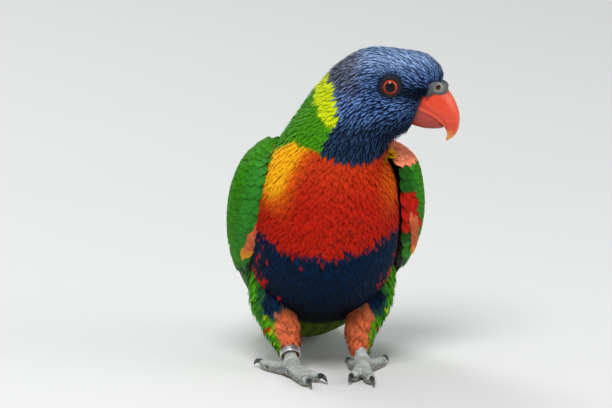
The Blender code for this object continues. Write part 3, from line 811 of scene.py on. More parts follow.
def tube(rings, capped=True, turned=False):
    """Points, quads and cap triangles over rings of equal counts: (count, around, 3)."""
    rings = np.asarray(rings, float)
    n, m = rings.shape[:2]
    points = rings.reshape(-1, 3)
    i, j = np.meshgrid(np.arange(n - 1), np.arange(m), indexing="ij")
    a, b = i * m + j, i * m + (j + 1) % m
    quads = np.stack([a, b, b + m, a + m], -1).reshape(-1, 4)
    tris = np.zeros((0, 3), int)
    if capped:
        turn, following = np.arange(m), (np.arange(m) + 1) % m
        start, end, last = np.full(m, n * m), np.full(m, n * m + 1), (n - 1) * m
        tris = np.concatenate([
            np.stack([start, following, turn], 1), np.stack([end, last + turn, last + following], 1)
        ])
        points = np.vstack([points, rings[0].mean(0), rings[-1].mean(0)])
    return (points, quads[:, ::-1], tris[:, ::-1]) if turned else (points, quads, tris)


NOSTRIL = np.array([20.5, 5.5, -1.7])
NOSTRIL_RED = np.array([0.13, 0.040, 0.015])
CERE_LOW = np.array([13.0, -8.0, -11.0])
CERE_SIZE = np.array([15.0, 16.0, 17.0])
CERE_GREY = np.array([0.105, 0.112, 0.112])
CERE_PALE = np.array([0.27, 0.25, 0.23])


def cere_mesh():
    """The bare cere over the bill with its two nostrils."""
    step = 0.28
    counts = (CERE_SIZE / step).astype(int)
    local = cell_places(counts) * step + CERE_LOW
    values = np.concatenate([body_form(part)[0] for part in np.array_split(head_world(local), 6)])
    for side in (-1, 1):
        offset = local - NOSTRIL * (1, side, 1)
        around_hole = np.hypot(offset[:, 0], offset[:, 2])
        rim = np.hypot(around_hole - 1.45, offset[:, 1] * 0.8) - 0.40
        values = smooth_union(values, rim, 0.9)
        hole = np.linalg.norm(offset * (1, 0.55, 1), axis=1) - 1.05
        values = -smooth_union(-values, hole, 0.35)
    roof = 0.9 - 0.5 * np.maximum(local[:, 0] - 20.5, 0)
    edge = np.maximum(15.2 - local[:, 0], local[:, 2] - roof)
    values = np.maximum(values + 0.05, edge)
    values = np.maximum(values, np.abs(local[:, 1]) - 7.6)
    values = np.maximum(values, -9.5 - local[:, 2])
    points, quads = surface_of(values.reshape(counts), CERE_LOW, step)
    near = np.min([np.linalg.norm(points - NOSTRIL * (1, s, 1), axis=1) for s in (-1, 1)], axis=0)
    wrinkle = np.sin(points[:, 0] * 3.1 + np.sin(points[:, 2] * 2.2)) * np.sin(points[:, 2] * 3.7)
    colour = CERE_GREY * (1 + 0.25 * wrinkle[:, None])
    # Darker towards the back of the cere, where the feathers lie over it: painted shade.
    colour = colour * (0.40 + 0.60 * smoothstep(16.0, 19.5, points[:, 0]))[:, None]
    colour = mix(colour, CERE_PALE, np.exp(-((near - 1.9) / 0.45) ** 2) * 0.7)
    colour = mix(colour, NOSTRIL_RED, smoothstep(1.6, 1.1, near))
    return head_world(points), quads, colour


# Leading edge, middle and trailing edge at each station of a folded wing, and its thickness
WING = [
    ((24.5, -9, 102), (27, -3, 105), (24, 4, 105), 3.0),
    ((30.5, -13.5, 95), (37.5, -2, 97.5), (25, 15, 103), 5.5),
    ((33, -12.5, 81), (42.3, 5, 84), (20.5, 27, 94), 6.0),
    ((34.5, -5, 64), (42.1, 15, 69), (13, 40, 80), 5.5),
    ((33.5, 10, 47), (38, 29, 52), (6.5, 51, 63), 4.2),
    ((29, 31, 31.5), (30, 46, 37.5), (3.6, 62, 47.5), 3.0),
    ((22.5, 54, 19), (21.5, 65, 24), (3, 75, 32), 2.0),
    ((15, 77, 12), (13, 84, 14.5), (3, 89, 18.5), 1.3),
    ((8.5, 100, 8), (7.5, 102, 8.6), (5.5, 103, 9.4), 0.8),
]
# How much further out each station lies: the left wing is held looser than the right
WING_HELD_OUT = {
    -1.0: (0.0, -0.6, -0.8, -0.9, -0.9, -0.3, 0.0, 0.0, 0.0),
    1.0: (0.0, 1.9, 1.3, 1.7, 2.4, 4.0, 2.2, 0.8, 0.0),
}

ACROSS = 25  # points across a bowed sheet


def bowed_sheet(start, bow, end):
    """Points across from start to end along curves drawn towards bow, and their normals."""
    share = np.linspace(0, 1, ACROSS)[None, :, None]
    face = ((1 - share)**2 * start[:, None] + 2 * share * (1 - share) * bow[:, None]
            + share**2 * end[:, None])
    return face, unit(np.cross(np.gradient(face, axis=0), np.gradient(face, axis=1)))


def wing_tables(side):
    """Outer surface, inner surface and outward normals of a folded wing, as (along, across)."""
    rows = np.array([(*middle, *lead, *trail, thick) for lead, middle, trail, thick in WING], float)
    rows[:, [0, 3, 6]] += np.array(WING_HELD_OUT[side])[:, None]
    rows = curve_through(rows, 65)
    middle, lead, trail, thick = rows[:, :3], rows[:, 3:6], rows[:, 6:9], rows[:, 9]
    outer, normal = bowed_sheet(lead, 2 * middle - (lead + trail) / 2, trail)
    away = ((outer - np.array([0, 20, 60])) * normal).sum(-1, keepdims=True)
    normal = normal * np.sign(away.mean())
    share = np.linspace(0, 1, ACROSS)[None, :, None]
    depth = thick[:, None, None] * (0.25 + 0.75 * np.sin(np.pi * share**0.7) ** 0.6)
    inner = outer - normal * depth
    turned = np.array([side, 1.0, 1.0])
    return outer * turned, inner * turned, normal * turned


def wing_core(side):
    """A closed mesh of the wing's flesh, inside its feathers."""
    outer, inner, normal = wing_tables(side)
    outer, inner, normal = outer[:50], inner[:50], normal[:50]
    thick = np.linalg.norm(outer - inner, axis=-1, keepdims=True)
    over = outer - normal * np.minimum(1.6, 0.55 * thick)
    under = inner + normal * 0.1 * thick
    return tube(np.concatenate([over[:, 1:-1], under[:, -2:0:-1]], 1), turned=side < 0)


# Distance behind the feet, height, half width and half thickness
TAIL = [
    (47.6, 18.0, 18.4, 12.6), (56, 13.4, 16.6, 10.4), (68, 9.2, 14.8, 7.4), (84, 5.5, 13.8, 4.4),
    (104, 2.3, 12.4, 2), (124, 0.95, 10.2, 1.3), (142, 0.5, 7.4, 0.9), (155, 0.35, 4.4, 0.65),
    (161.6, 0.25, 1.4, 0.5),
]


def tail_rows(count):
    """x, y, z, half width and half thickness at even steps along the tail."""
    rows = np.array([(0.0, y, z, width, thick) for y, z, width, thick in TAIL])
    return curve_through(rows, count)


def tail_core():
    """A closed mesh of the tail's flesh, inside its feathers."""
    rows = tail_rows(30)[:20]
    turn = np.linspace(0, 2 * np.pi, 24, endpoint=False)
    wide, high = rows[:, 3:4] - 1.6, rows[:, 4:5] * 0.72
    x = wide * np.cos(turn)
    z = np.maximum(rows[:, 2:3] + high * np.sin(turn), 0.15)
    y = np.broadcast_to(rows[:, 1:2], x.shape)
    return tube(np.stack([x, y, z], -1))


# The skin takes the plumage's markings at this share of their brightness: painted shade in the gaps
# between and under the feathers.
UNDER_COAT_SHADE = 0.6  # how bright the skin is beside its feathers


def build_skin(look):
    """The one skin of head, neck, body, wings, tail, legs and feet."""
    shells = []

    def add(points, quads, tris, colour):
        tris = np.asarray(tris, int).reshape(-1, 3)
        shells.append((points, quads, tris, np.broadcast_to(colour, (len(points), 3))))

    deep = grid_depth(BODY) + 1.5 * smoothstep(1, 5, grid_cut(BODY))
    points, quads = BODY.surface(BODY.values[..., 0] + deep)
    # Here, on the head and on the thighs, the skin is the plumage's colour darkened: painted shade under
    # the feathers.
    add(points, quads, [], UNDER_COAT_SHADE * feathered_colour(points))
    points, quads = HEAD.surface(np.maximum(HEAD.values[..., 0] + grid_depth(HEAD), -grid_cut(HEAD)))
    colour = UNDER_COAT_SHADE * feathered_colour(points)
    for side in SIDES.values():
        near = np.linalg.norm(head_place(points) - NOSTRIL * (1, side, 1), axis=1)
        colour = mix(colour, NOSTRIL_RED, smoothstep(5.0, 3.5, near))
    add(points, quads, [], colour)
    points, quads, colour = cere_mesh()
    add(points, quads, [], colour)
    for name, side in SIDES.items():
        thigh = THIGHS[side]
        points, quads = thigh.surface(thigh.values[..., 0] + THIGH_COAT)
        add(points, quads, [], UNDER_COAT_SHADE * thigh_markings(points, side))
        add(*wing_core(side), DARK_LEAF)
        points, quads, colour = foot_mesh(name, side)
        add(points, quads, [], colour)
    add(*tail_core(), DARK_LEAF)
    points, quads, tris, colours = zip(*shells)
    first = np.cumsum([0] + [len(rows) for rows in points])
    obj = make_mesh(
        "skin", np.concatenate(points), np.concatenate([rows + n for rows, n in zip(quads, first)]),
        np.concatenate([rows + n for rows, n in zip(tris, first)]), np.concatenate(colours),
    )
    flesh = ["head", "neck", "trunk", "tail"]
    for name in SIDES:
        flesh += [f"wing_{name}", f"thigh_{name}", f"tarsus_{name}"]
        flesh += [f"toe_{name}_{toe}" for toe, _, _ in TOES[name]]
    finish_piece(obj, look, flesh)


def feathered_colour(points):
    """Colour of the plumage at points of the body and head."""
    found = BODY.at(points)
    colour, over_hood = body_markings(points, found[:, 4])
    dark, light = hood_markings(points)
    hooded = (over_hood > 0) | (found[:, 5] < -6)
    return np.where(hooded[:, None], mix(dark, light, 0.3), colour)


def thigh_markings(points, side):
    """Green outside, salmon in front below, dark blue above."""
    x, y, z = points[:, 0] * side, points[:, 1], points[:, 2]
    inward = 19.5 - x + 0.22 * (z - 12)
    colour = np.broadcast_to(LEAF, points.shape)
    salmon = smoothstep(-1.0, 1.2, inward) * smoothstep(31, 26, z)
    colour = mix(colour, SALMON, salmon)
    top = smoothstep(25, 30, z + 0.35 * (x - 20)) * smoothstep(31, 26, x)
    colour = mix(colour, NAVY, top)
    return mix(colour, DARK_LEAF, smoothstep(10, 16, y))


# The body's feathers

def feather_colours(base, t, jitter):
    """Colours of every point of the feathers: darker at the root, as painted shade under the feathers
    that lie over it, and softly uneven in the web.
    """
    base = base if base.ndim == 3 else base[:, None, :]
    shade = 1 + RANDOM.normal(0, jitter, (len(base), 1))
    # Darker towards the root: painted shade where the feathers above cover it.
    shade = shade * (0.72 + 0.28 * smoothstep(0.1, 0.6, t))
    streaks = 1 + RANDOM.normal(0, 0.06, t.shape)
    return base * (shade * streaks)[..., None]


def normalised(rows):
    """Each column stretched to run from 0 to 1."""
    low, high = rows.min(0), rows.max(0)
    return (rows - low) / np.maximum(high - low, 1e-6)


def root_map(points, place):
    """Place of each root on the skin's own unwrap: round the spine, and along it."""
    return normalised(np.stack([around(points, place) / 360, place], 1))


def under_wing(points, normal):
    """True for roots that a folded wing covers."""
    covered = np.zeros(len(points), bool)
    for side in SIDES.values():
        outer = wing_tables(side)[0].reshape(-1, 3)
        tree = tree_of(outer)
        near = np.array([tree.find(point)[0] for point in points])
        gap = near - points
        reach, out = np.linalg.norm(gap, axis=1), (gap * normal).sum(1)
        covered |= (reach < 8) & (out > 1.2) & (out > 0.86 * reach)
    return covered


# Random places tried for feathers, before those too close to another are left out
BODY_ROOTS, HEAD_ROOTS, THIGH_ROOTS = 90000, 40000, 9000
# Slot and greatest number of feathers of the pieces of each region
REGIONS = {
    "coat_head": ("hood_feathers", 5200),
    "coat_neck": ("neck_feathers", 4000),
    "coat_breast": ("breast_feathers", 4000),
    "coat_belly": ("breast_feathers", 4000),
}


def head_roots():
    """Random places on the head's finer grid."""
    points = scatter(*HEAD.outline(), HEAD_ROOTS)
    return points[beyond_cut(points) > -4]


def body_feathers(look):
    """All feathers of head, neck and trunk, in pieces by their place."""
    points = np.concatenate([scatter(*BODY.outline(), BODY_ROOTS), head_roots()])
    found = BODY.at(points)
    normal, place, head_side = unit(found[:, 1:4]), found[:, 4], found[:, 5]
    local = head_place(points)
    ahead, right, above = local.T
    over = side_of_line(local, BILL_CORNER, OVER_BILL)
    behind = side_of_line(local, UNDER_GAPE, BILL_CORNER)
    from_eye = np.where(np.abs(right) > 8, np.hypot(ahead, above), 99)
    to_bill = np.maximum(over, behind)
    # No feathers grow on the bill, on the cere, beside the eyes or close to the floor
    bare = (to_bill < 0.5) & (head_side < 3)
    bare |= (ahead > 17.0) & (above < 0.1) & (above > -8) & (head_side < 3)
    bare |= from_eye < 4.5
    bare |= points[:, 2] < 6
    # A feather takes the hood's colours if its tip lies in the hood
    tip = points + body_flow(points, normal) * 3.4
    tip_place = BODY.at(tip)[:, 4]
    over_hood = past_hood_edge(tip_place, around(tip, tip_place))
    on_head = over_hood > RANDOM.normal(0, 0.002, len(points))
    on_head |= (head_side < -7) & (ahead > -16)
    # They are shortest and closest beside the eyes and the bill, and longest on the trunk
    face = np.clip(np.maximum(1 - (from_eye - 5) / 6, 1 - np.maximum(to_bill - 1, 0) / 8), 0, 1)
    face = face * on_head
    below = smoothstep(-6, 4, head_side)
    trunk = 1 - smoothstep(0.76, 0.88, place)
    length = np.where(on_head, 4.9 - 2.6 * face + 1.0 * below, 6.8 + 2.2 * trunk)
    length = length + 5.0 * smoothstep(0.38, 0.26, place)
    half_width = np.where(on_head, 0.86 - 0.36 * face + 0.2 * below, 1.15 + 0.45 * trunk)
    gap = np.where(on_head, 1.02 - 0.44 * face + 0.15 * below, 1.20 + 0.24 * trunk)
    open_places = np.nonzero(~bare & ~under_wing(points, normal))[0]
    kept = open_places[spread(points[open_places], gap[open_places])]
    high, low = place[kept] > 0.80, place[kept] <= 0.60
    members = (on_head[kept], ~on_head[kept] & high, ~on_head[kept] & ~high & ~low, ~on_head[kept] & low)
    angle = around(points, place)
    for (region, (slot, most)), inside in zip(REGIONS.items(), members):
        order = kept[inside][np.argsort(angle[kept[inside]])]
        for k, chosen in enumerate(np.array_split(order, -(-len(order) // most))):
            sizes = length[chosen], half_width[chosen]
            obj = body_piece(f"{region}_{k + 1}", points[chosen], found[chosen], *sizes)
            finish_piece(obj, look)


def body_piece(name, roots, found, length, half_width):
    """One piece of the body's feathers. found holds the body grid's values at their roots."""
    hood = name.startswith("coat_head")
    length = length * RANDOM.uniform(0.88, 1.12, len(roots))
    deep = coat_depth(found[:, 4], found[:, 5]) - 0.1
    if hood:
        vane, coat = Vane(6, 4), Plumage(HEAD, body_flow)
        shape = dict(cup=0.08, roundness=0.62, lift=0.10, rise=0.95, uneven=0.08)
    else:
        vane, coat = Vane(6, 5), Plumage(BODY, body_flow)
        shape = dict(cup=0.04, roundness=0.45, lift=0.02, rise=1.3, uneven=0.025)
    laid, t, x = coat.lay(vane, roots, length, half_width, deep, wander=0.07, fringe=0.05, **shape)
    seen = roots + unit(laid[:, -1] - roots) * (0.7 * length)[:, None]
    colours = hood_colours(seen, t, x) if hood else plain_colours(seen, laid, t)
    patch = root_map(roots, found[:, 4])
    return vane_object(name, vane, laid, colours, length, half_width, patch, t, x)


def hood_colours(seen, t, x):
    """Dark webs with a pale streak along each shaft. seen is a place near each feather's tip."""
    dark, light = hood_markings(seen)
    streak = np.exp(-(x / 0.29) ** 2) * (0.10 + 0.90 * smoothstep(0.3, 0.8, t))
    strength = np.clip(RANDOM.normal(0.78, 0.32, (len(seen), 1)), 0.10, 1.2)
    colours = mix(dark[:, None], light[:, None], np.clip(streak * strength, 0, 1))
    return colours * (1 + RANDOM.normal(0, 0.10, (len(seen), 1, 1)))


def plain_colours(seen, laid, t):
    """The body's markings on every point, with flecks, and dark tips on some of the breast."""
    at = BODY.at(seen)[:, 4] + RANDOM.normal(0, 0.004, len(seen))
    spots = laid.reshape(-1, 3)
    stray = np.repeat(RANDOM.normal(0, 0.003, len(seen)), laid.shape[1])
    base, _ = body_markings(spots, BODY.at(spots)[:, 4] + stray)
    own, own_colour = flecks(seen, at)
    base = np.where(own[:, None, None], own_colour[:, None], base.reshape(laid.shape))
    colours = feather_colours(base, t, np.where(at < 0.61, 0.22, 0.05)[:, None])
    middle = np.exp(-((at - 0.68) / 0.05) ** 2 - ((around(seen, at) - 14) / 24) ** 2)
    dark_tip = (RANDOM.uniform(0, 1, len(at)) < 0.8 * middle)[:, None] * smoothstep(0.84, 0.95, t)
    return mix(colours, BLACKISH, 0.75 * dark_tip)


def flecks(points, place):
    """Which feathers have their own colour, on the flanks and near the breast's lower edge."""
    angle = around(points, place)
    off = np.abs(angle)
    chance = RANDOM.uniform(0, 1, len(points))
    flank = np.exp(-((place - 0.44) / 0.07) ** 2 - ((off - 74) / 16) ** 2)
    red = (chance < 0.55 * flank) & (place < 0.58)
    belly = np.interp(angle, *np.array(BELLY_EDGE).T)
    near = np.exp(-((place - belly) / 0.012) ** 2) * (off < 75)
    swap = chance > 1 - 0.25 * near
    other = np.where((place > belly)[:, None], NAVY, SCARLET * 0.8)
    return red | swap, np.where(red[:, None], SCARLET * 1.1, other)


def thigh_feathers(look):
    """The feathers of both thighs, down to the ankles."""
    for name, side in SIDES.items():
        grid = THIGHS[side]
        points = scatter(*grid.outline(), THIGH_ROOTS)
        z, normal = points[:, 2], unit(grid.at(points)[:, 1:4])
        keep = (BODY.at(points)[:, 0] > -0.5) & (z > 9.0) & (z < 46) & ~under_wing(points, normal)
        points = points[keep]
        small = smoothstep(26, 12, points[:, 2])
        chosen = spread(points, 1.9 - 0.75 * small)
        roots, small = points[chosen], small[chosen]
        length = (7.6 - 3.2 * small) * RANDOM.uniform(0.85, 1.15, len(chosen))
        wide, vane, coat = 2.0 - 0.95 * small, Vane(6, 5), Plumage(grid, thigh_flow(side))
        laid, t, x = coat.lay(vane, roots, length, wide, THIGH_COAT, wander=0.16, fringe=0.09)
        seen = roots + unit(laid[:, -1] - roots) * (0.6 * length)[:, None]
        base = thigh_markings(seen + RANDOM.normal(0, 0.35, seen.shape), side)
        chance = RANDOM.uniform(0, 1, len(roots))
        outside = smoothstep(0, 3, seen[:, 0] * side - 20) * smoothstep(30, 24, seen[:, 2])
        base = np.where((chance < 0.10 * outside)[:, None], mix(YELLOW, LEAF, 0.3), base)
        base = np.where((chance > 1 - 0.05 * outside)[:, None], SCARLET, base)
        turn = np.arctan2(roots[:, 1] - 6, roots[:, 0] * side - 19)
        patch = normalised(np.stack([turn, roots[:, 2]], 1))
        colours = feather_colours(base, t, 0.14)
        obj = vane_object(f"coat_thigh_{name}", vane, laid, colours, length, wide, patch, t, x)
        finish_piece(obj, look)


# Wings

WING_RUN = 145  # millimetres along the wing's sheet from end to end


def wing_layers():
    """Rows of start, end, half width, low and high level, bend, and kind of every wing feather."""
    rows = []

    def row(a, length, count, half_width, low, high, kind, first=0.0, last=1.0, stagger=0.0):
        for k in range(count):
            b = first + (last - first) * (k + 0.5 + stagger) / count
            a_here = a + RANDOM.normal(0, 0.003)
            size = length * RANDOM.uniform(0.92, 1.08)
            drift = 0.02 * (0.5 - b)
            end = a_here + size / WING_RUN, b + drift
            rows.append((a_here, b, *end, half_width, low, high, 0, kind))

    for k, a in enumerate(np.arange(-0.035, 0.315, 0.0215)):
        count = int(8 + 9 * smoothstep(0, 0.18, a))
        row(a, 7.6, count, 2.5, -1.5, -0.35, "lesser", -0.03, 1.03, 0.5 * (k % 2) - 0.25)
    row(0.31, 11.5, 13, 3.3, -1.6, -0.45, "median", -0.02, 1.0)
    row(0.35, 13.0, 13, 3.6, -1.8, -0.5, "median", -0.02, 1.0, 0.5)
    row(0.37, 18.0, 12, 4.1, -2.0, -0.55, "greater", 0.12, 1.0)
    row(0.36, 21.0, 6, 3.6, -2.0, -0.6, "primary_covert", 0.0, 0.30)
    for k in range(4):
        b = 0.98 - 0.06 * k
        rows.append((0.34, b, 0.56 + 0.03 * k, b - 0.01, 4.8, -1.6, -0.15 - 0.1 * k, 0, "tertial"))
    for k in range(10):
        share = k / 9
        start, end = (0.38, 0.88 - 0.068 * k), (0.66 + 0.10 * share, 0.95 - 0.62 * share)
        rows.append((*start, *end, 4.6, -1.8, -0.50 - 0.04 * k, 0.02, "secondary"))
    for k in range(10):
        share = k / 9
        start, end = (0.42, 0.40 - 0.040 * k), (0.765 + 0.235 * share**0.85, 0.78 - 0.30 * share)
        levels, bend = (-1.8, -0.80 - 0.06 * k), -0.10 - 0.08 * share
        rows.append((*start, *end, 4.7 - 1.2 * share, *levels, bend, "primary"))
    return rows


def wing_colours(kind, middle, t, x, side):
    """Colours of the wing's feathers by kind. middle is (a, b) of each feather's middle."""
    a, b = middle.T
    green = mix(LEAF, DARK_LEAF, 0.48 + 0.25 * np.sin(7 * a + 3 * b))
    green = mix(green, COOL_GREEN, 0.4 * smoothstep(0.25, 0.05, b))
    if kind == "lesser" and side > 0:
        green = np.where((a < 0.088)[:, None], SHOULDER, green)
        green = np.where(((a < 0.05) & (b < 0.10))[:, None], AMBER, green)
        green = mix(green, DARK_LEAF * 0.35, 0.8 * smoothstep(0.16, 0.04, b) * (a > 0.09))
        red = (a > 0.17) & (a < 0.30) & (b < 0.15 + RANDOM.normal(0, 0.02, len(a)))
        green = np.where(red[:, None], SCARLET, green)
    colours = feather_colours(green, t, 0.10)
    outer_web = x * side
    if kind not in ("lesser", "median", "greater"):
        inner = smoothstep(0.05, -0.25, outer_web) * (0.35 if kind == "tertial" else 1.0)
        colours = mix(colours, BLACKISH, inner)
        colours = mix(colours, PALE_EDGE, 0.7 * smoothstep(0.75, 1.0, outer_web))
        colours = mix(colours, BLACKISH, 0.8 * np.exp(-(x / 0.06) ** 2))
    else:
        # Coverts lighter towards their open tips: painted highlight.
        colours = colours * (1 + 0.15 * smoothstep(0.6, 0.85, t))[..., None]
    if kind == "primary":
        colours = mix(colours, BLACKISH, 0.75 * smoothstep(0.72, 0.95, t))
    return colours


COVERTS = dict(cup=0.09, fringe=0.02, roundness=0.34, waist=0.5)
QUILLS = dict(cup=0.10, fringe=0.006, roundness=0.12, power=3.0, waist=0.5)
# Kinds, rows and strips of the feathers of each piece of a wing, and their shape
WING_GROUPS = {
    "coverts": (("lesser", "median", "greater", "primary_covert"), (7, 6), COVERTS),
    "quills": (("tertial", "secondary", "primary"), (14, 10), QUILLS),
}


def wing_feathers(look):
    """The outer feathers of both folded wings, their front edges and their undersides."""
    for name, side in SIDES.items():
        outer, inner, normal = wing_tables(side)
        sheet = Sheet(outer, normal)
        layers = wing_layers()
        for group, (kinds, (rows, strips), shape) in WING_GROUPS.items():
            made = []
            for kind in kinds:
                data = np.array([row[:8] for row in layers if row[8] == kind], float)
                start, end, (half_width, low, high, bend) = data[:, 0:2], data[:, 2:4], data[:, 4:].T
                vane, narrow = Vane(rows, strips), 0.55 if kind == "primary" else 0.25
                laid, t, x = sheet.lay(
                    vane, start, end, half_width, low, high, bend=bend, narrow_tip=narrow, **shape
                )
                colours = wing_colours(kind, (start + end) / 2, t, x, side)
                length = (end - start)[:, 0] * WING_RUN
                made.append((vane, laid, colours, length, half_width, np.clip(start, 0, 1), t, x))
            pieces = [vane_object(f"part_{k}", *values) for k, values in enumerate(made)]
            finish_piece(joined(pieces, f"coat_wing_{name}_{group}"), look)
        front_edge(look, name, side, sheet)
        lining(look, name, inner, normal)


# Start, run and turn of the strip in front of each folded wing, as (along, across)
FRONT_EDGE = {
    -1.0: ((0.185, -0.14), (0.150, 0.13), (0.062, 0.020)),
    1.0: ((0.225, 0.03), (0.130, 0.07), (0.062, 0.010)),
}


def front_edge(look, name, side, sheet):
    """The strip of salmon feathers that shows in front of the folded wing."""
    share = np.linspace(0, 1, 12)
    first, run, turn = (np.array(row) for row in FRONT_EDGE[side])
    start = np.repeat(first + run * share[:, None], 3, axis=0)
    start[1::3] += (0.004, 0.026)
    start[2::3] += (0.010, 0.052)
    start += RANDOM.normal(0, 0.004, start.shape)
    count = len(start)
    half_width, vane = RANDOM.uniform(1.2, 1.7, count), Vane(7, 5)
    high = RANDOM.normal(0.05, 0.12, count)
    laid, t, x = sheet.lay(vane, start, start + turn, half_width, -0.9, high, cup=0.14, fringe=0.05)
    base = mix(SALMON, mix(AMBER, SALMON, 0.35), np.repeat(smoothstep(0.78, 1.0, share), 3))
    base = mix(base, SCARLET * 1.2, np.repeat(smoothstep(0.35, 0.15, share), 3) * (side < 0))
    colours = feather_colours(base, t, 0.10)
    patch = normalised(start)
    obj = vane_object(f"coat_edge_{name}", vane, laid, colours, 12.0, half_width, patch, t, x)
    finish_piece(obj, look)


LINING_LENGTH, LINING_HALF_WIDTH = 10.0, 2.9


def lining(look, name, inner, normal):
    """Feathers under the wing, with the salmon ones that show along its front edge."""
    starts, base = [], []
    for k, a in enumerate(np.arange(-0.02, 0.62, 0.026)):
        for j in range(9):
            b = (j + 0.5 + 0.5 * (k % 2)) / 9.5
            starts.append((a, b))
            base.append(SALMON if b < 0.55 and a < 0.5 else BLACKISH * 4)
    starts, vane = np.array(starts), Vane(6, 5)
    ends = starts + (LINING_LENGTH / WING_RUN, 0.01)
    sheet = Sheet(inner, -normal)
    laid, t, x = sheet.lay(vane, starts, ends, LINING_HALF_WIDTH, -0.6, 0.25, cup=0.1)
    colours = feather_colours(np.array(base), t, 0.12)
    obj = vane_object(f"coat_lining_{name}", vane, laid, colours, LINING_LENGTH, LINING_HALF_WIDTH,
                      np.clip(starts, 0, 1), t, x)
    finish_piece(obj, look)


MANTLE_RUN = 86  # millimetres along the mantle's sheet


def mantle_feathers(look):
    """Green feathers that lead from the back onto the inner edges of the two folded wings."""
    rows = slice(3, 42)
    left, right = ((outer[rows, -3] + normal[rows, -3] * 0.4)
                   for outer, _, normal in (wing_tables(1.0), wing_tables(-1.0)))
    between = (left + right) / 2
    found = BODY.at(between)
    on_back = between + unit(found[:, 1:4]) * (0.5 - found[:, :1])
    lifted = smoothstep(0.0, 0.5, np.linspace(0, 1, len(between)))[:, None]
    middle = on_back + 0.75 * lifted * (between - on_back)
    face, normal = bowed_sheet(right, 2 * middle - between, left)
    normal = normal * np.sign((normal * (0, 0.8, 0.6)).sum(-1).mean())
    sheet = Sheet(face, normal)
    starts = []
    for k, a in enumerate(np.arange(-0.02, 0.98, 0.052)):
        wide = np.linalg.norm(sheet.at(a, 0.0)[0] - sheet.at(a, 1.0)[0])
        count = int(wide / 3.0) + 2
        starts += [(a, (j + 0.5 * (k % 2) + 0.25) / (count - 0.5)) for j in range(count)]
    starts = np.array(starts) + RANDOM.normal(0, 0.004, (len(starts), 2))
    count = len(starts)
    length = RANDOM.uniform(10.5, 13, count)
    ends = starts + np.stack([length / MANTLE_RUN, 0.12 * (0.5 - starts[:, 1])], 1)
    vane, half_width = Vane(7, 6), RANDOM.uniform(2.5, 3.0, count)
    high = RANDOM.normal(0, 0.06, count)
    laid, t, x = sheet.lay(vane, starts, ends, half_width, -1.2, high, cup=0.08)
    base = mix(DARK_LEAF, LEAF, 0.35 + 0.25 * RANDOM.uniform(0, 1, count))
    colours, patch = feather_colours(base, t, 0.08), normalised(starts)
    obj = vane_object("coat_mantle", vane, laid, colours, length, half_width, patch, t, x)
    finish_piece(obj, look)


def joined(pieces, name):
    """One object from several with the same layers."""
    with bpy.context.temp_override(
        active_object=pieces[0], object=pieces[0], selected_objects=pieces,
        selected_editable_objects=pieces,
    ):
        bpy.ops.object.join()
    pieces[0].name = name
    pieces[0].data.name = name
    return pieces[0]


# Tail

TAIL_RUN, QUILL_ROOT = 114, 52.0
# How far each pair of tail feathers ends before the tip of the tail
SHORTER = (0, 9, 20, 32, 46, 62)
COVERT_HALF_WIDTH = 2.9


def tail_quills(rows):
    """Twelve graduated tail feathers, as one object."""
    run, width = rows[:, 1], rows[:, 3]
    data = []
    for k, shorter in enumerate(SHORTER):
        for side in (-1, 1):
            tip = 161.0 - shorter
            tip_x = side * min(1.5 + 1.9 * k, np.interp(tip, run, width) * 0.62)
            data.append((side * (1.2 + 1.7 * k), tip, tip_x, 4.7 - 0.12 * k, k))
    root_x, tip, tip_x, half_width, order = np.array(data).T[..., None]
    vane = Vane(20, 10)
    t, x = vane.outline(len(data), 0.22, 0.006, 2.0)
    ahead = QUILL_ROOT + (tip - QUILL_ROOT) * t
    narrow = 1 - 0.62 * smoothstep(0.55, 1.0, t)
    across = root_x + (tip_x - root_x) * t**0.8 + half_width * narrow * x
    limit = np.interp(ahead, run, width)
    across = np.clip(across, -limit, limit)
    arch = np.sqrt(np.clip(1 - (across / np.maximum(limit, 0.5)) ** 2, 0, 1))
    roof = np.interp(ahead, run, rows[:, 2]) + np.interp(ahead, run, rows[:, 4]) * arch * 0.92
    level = roof - 0.12 - 0.16 * order * smoothstep(0, 0.3, t) - 0.10 * x**2 - 2.0 * (1 - t) ** 4
    level = np.maximum(level, 0.06 + 0.02 * (6 - order))
    laid = np.stack([across, ahead, level], -1)
    colours = feather_colours(np.tile(mix(DARK_LEAF, LEAF, 0.55), (len(data), 1)), t, 0.05)
    inner = np.sign(tip_x) * x < 0
    colours = np.where(inner[..., None], mix(colours, mix(OLIVE, YELLOW, 0.3), 0.35), colours)
    colours = mix(colours, BLACKISH, 0.6 * np.exp(-(x / 0.05) ** 2))
    patch = normalised(np.concatenate([root_x, tip], 1))
    length = (tip - QUILL_ROOT)[:, 0]
    return vane_object("rectrices", vane, laid, colours, length, half_width[:, 0], patch, t, x)


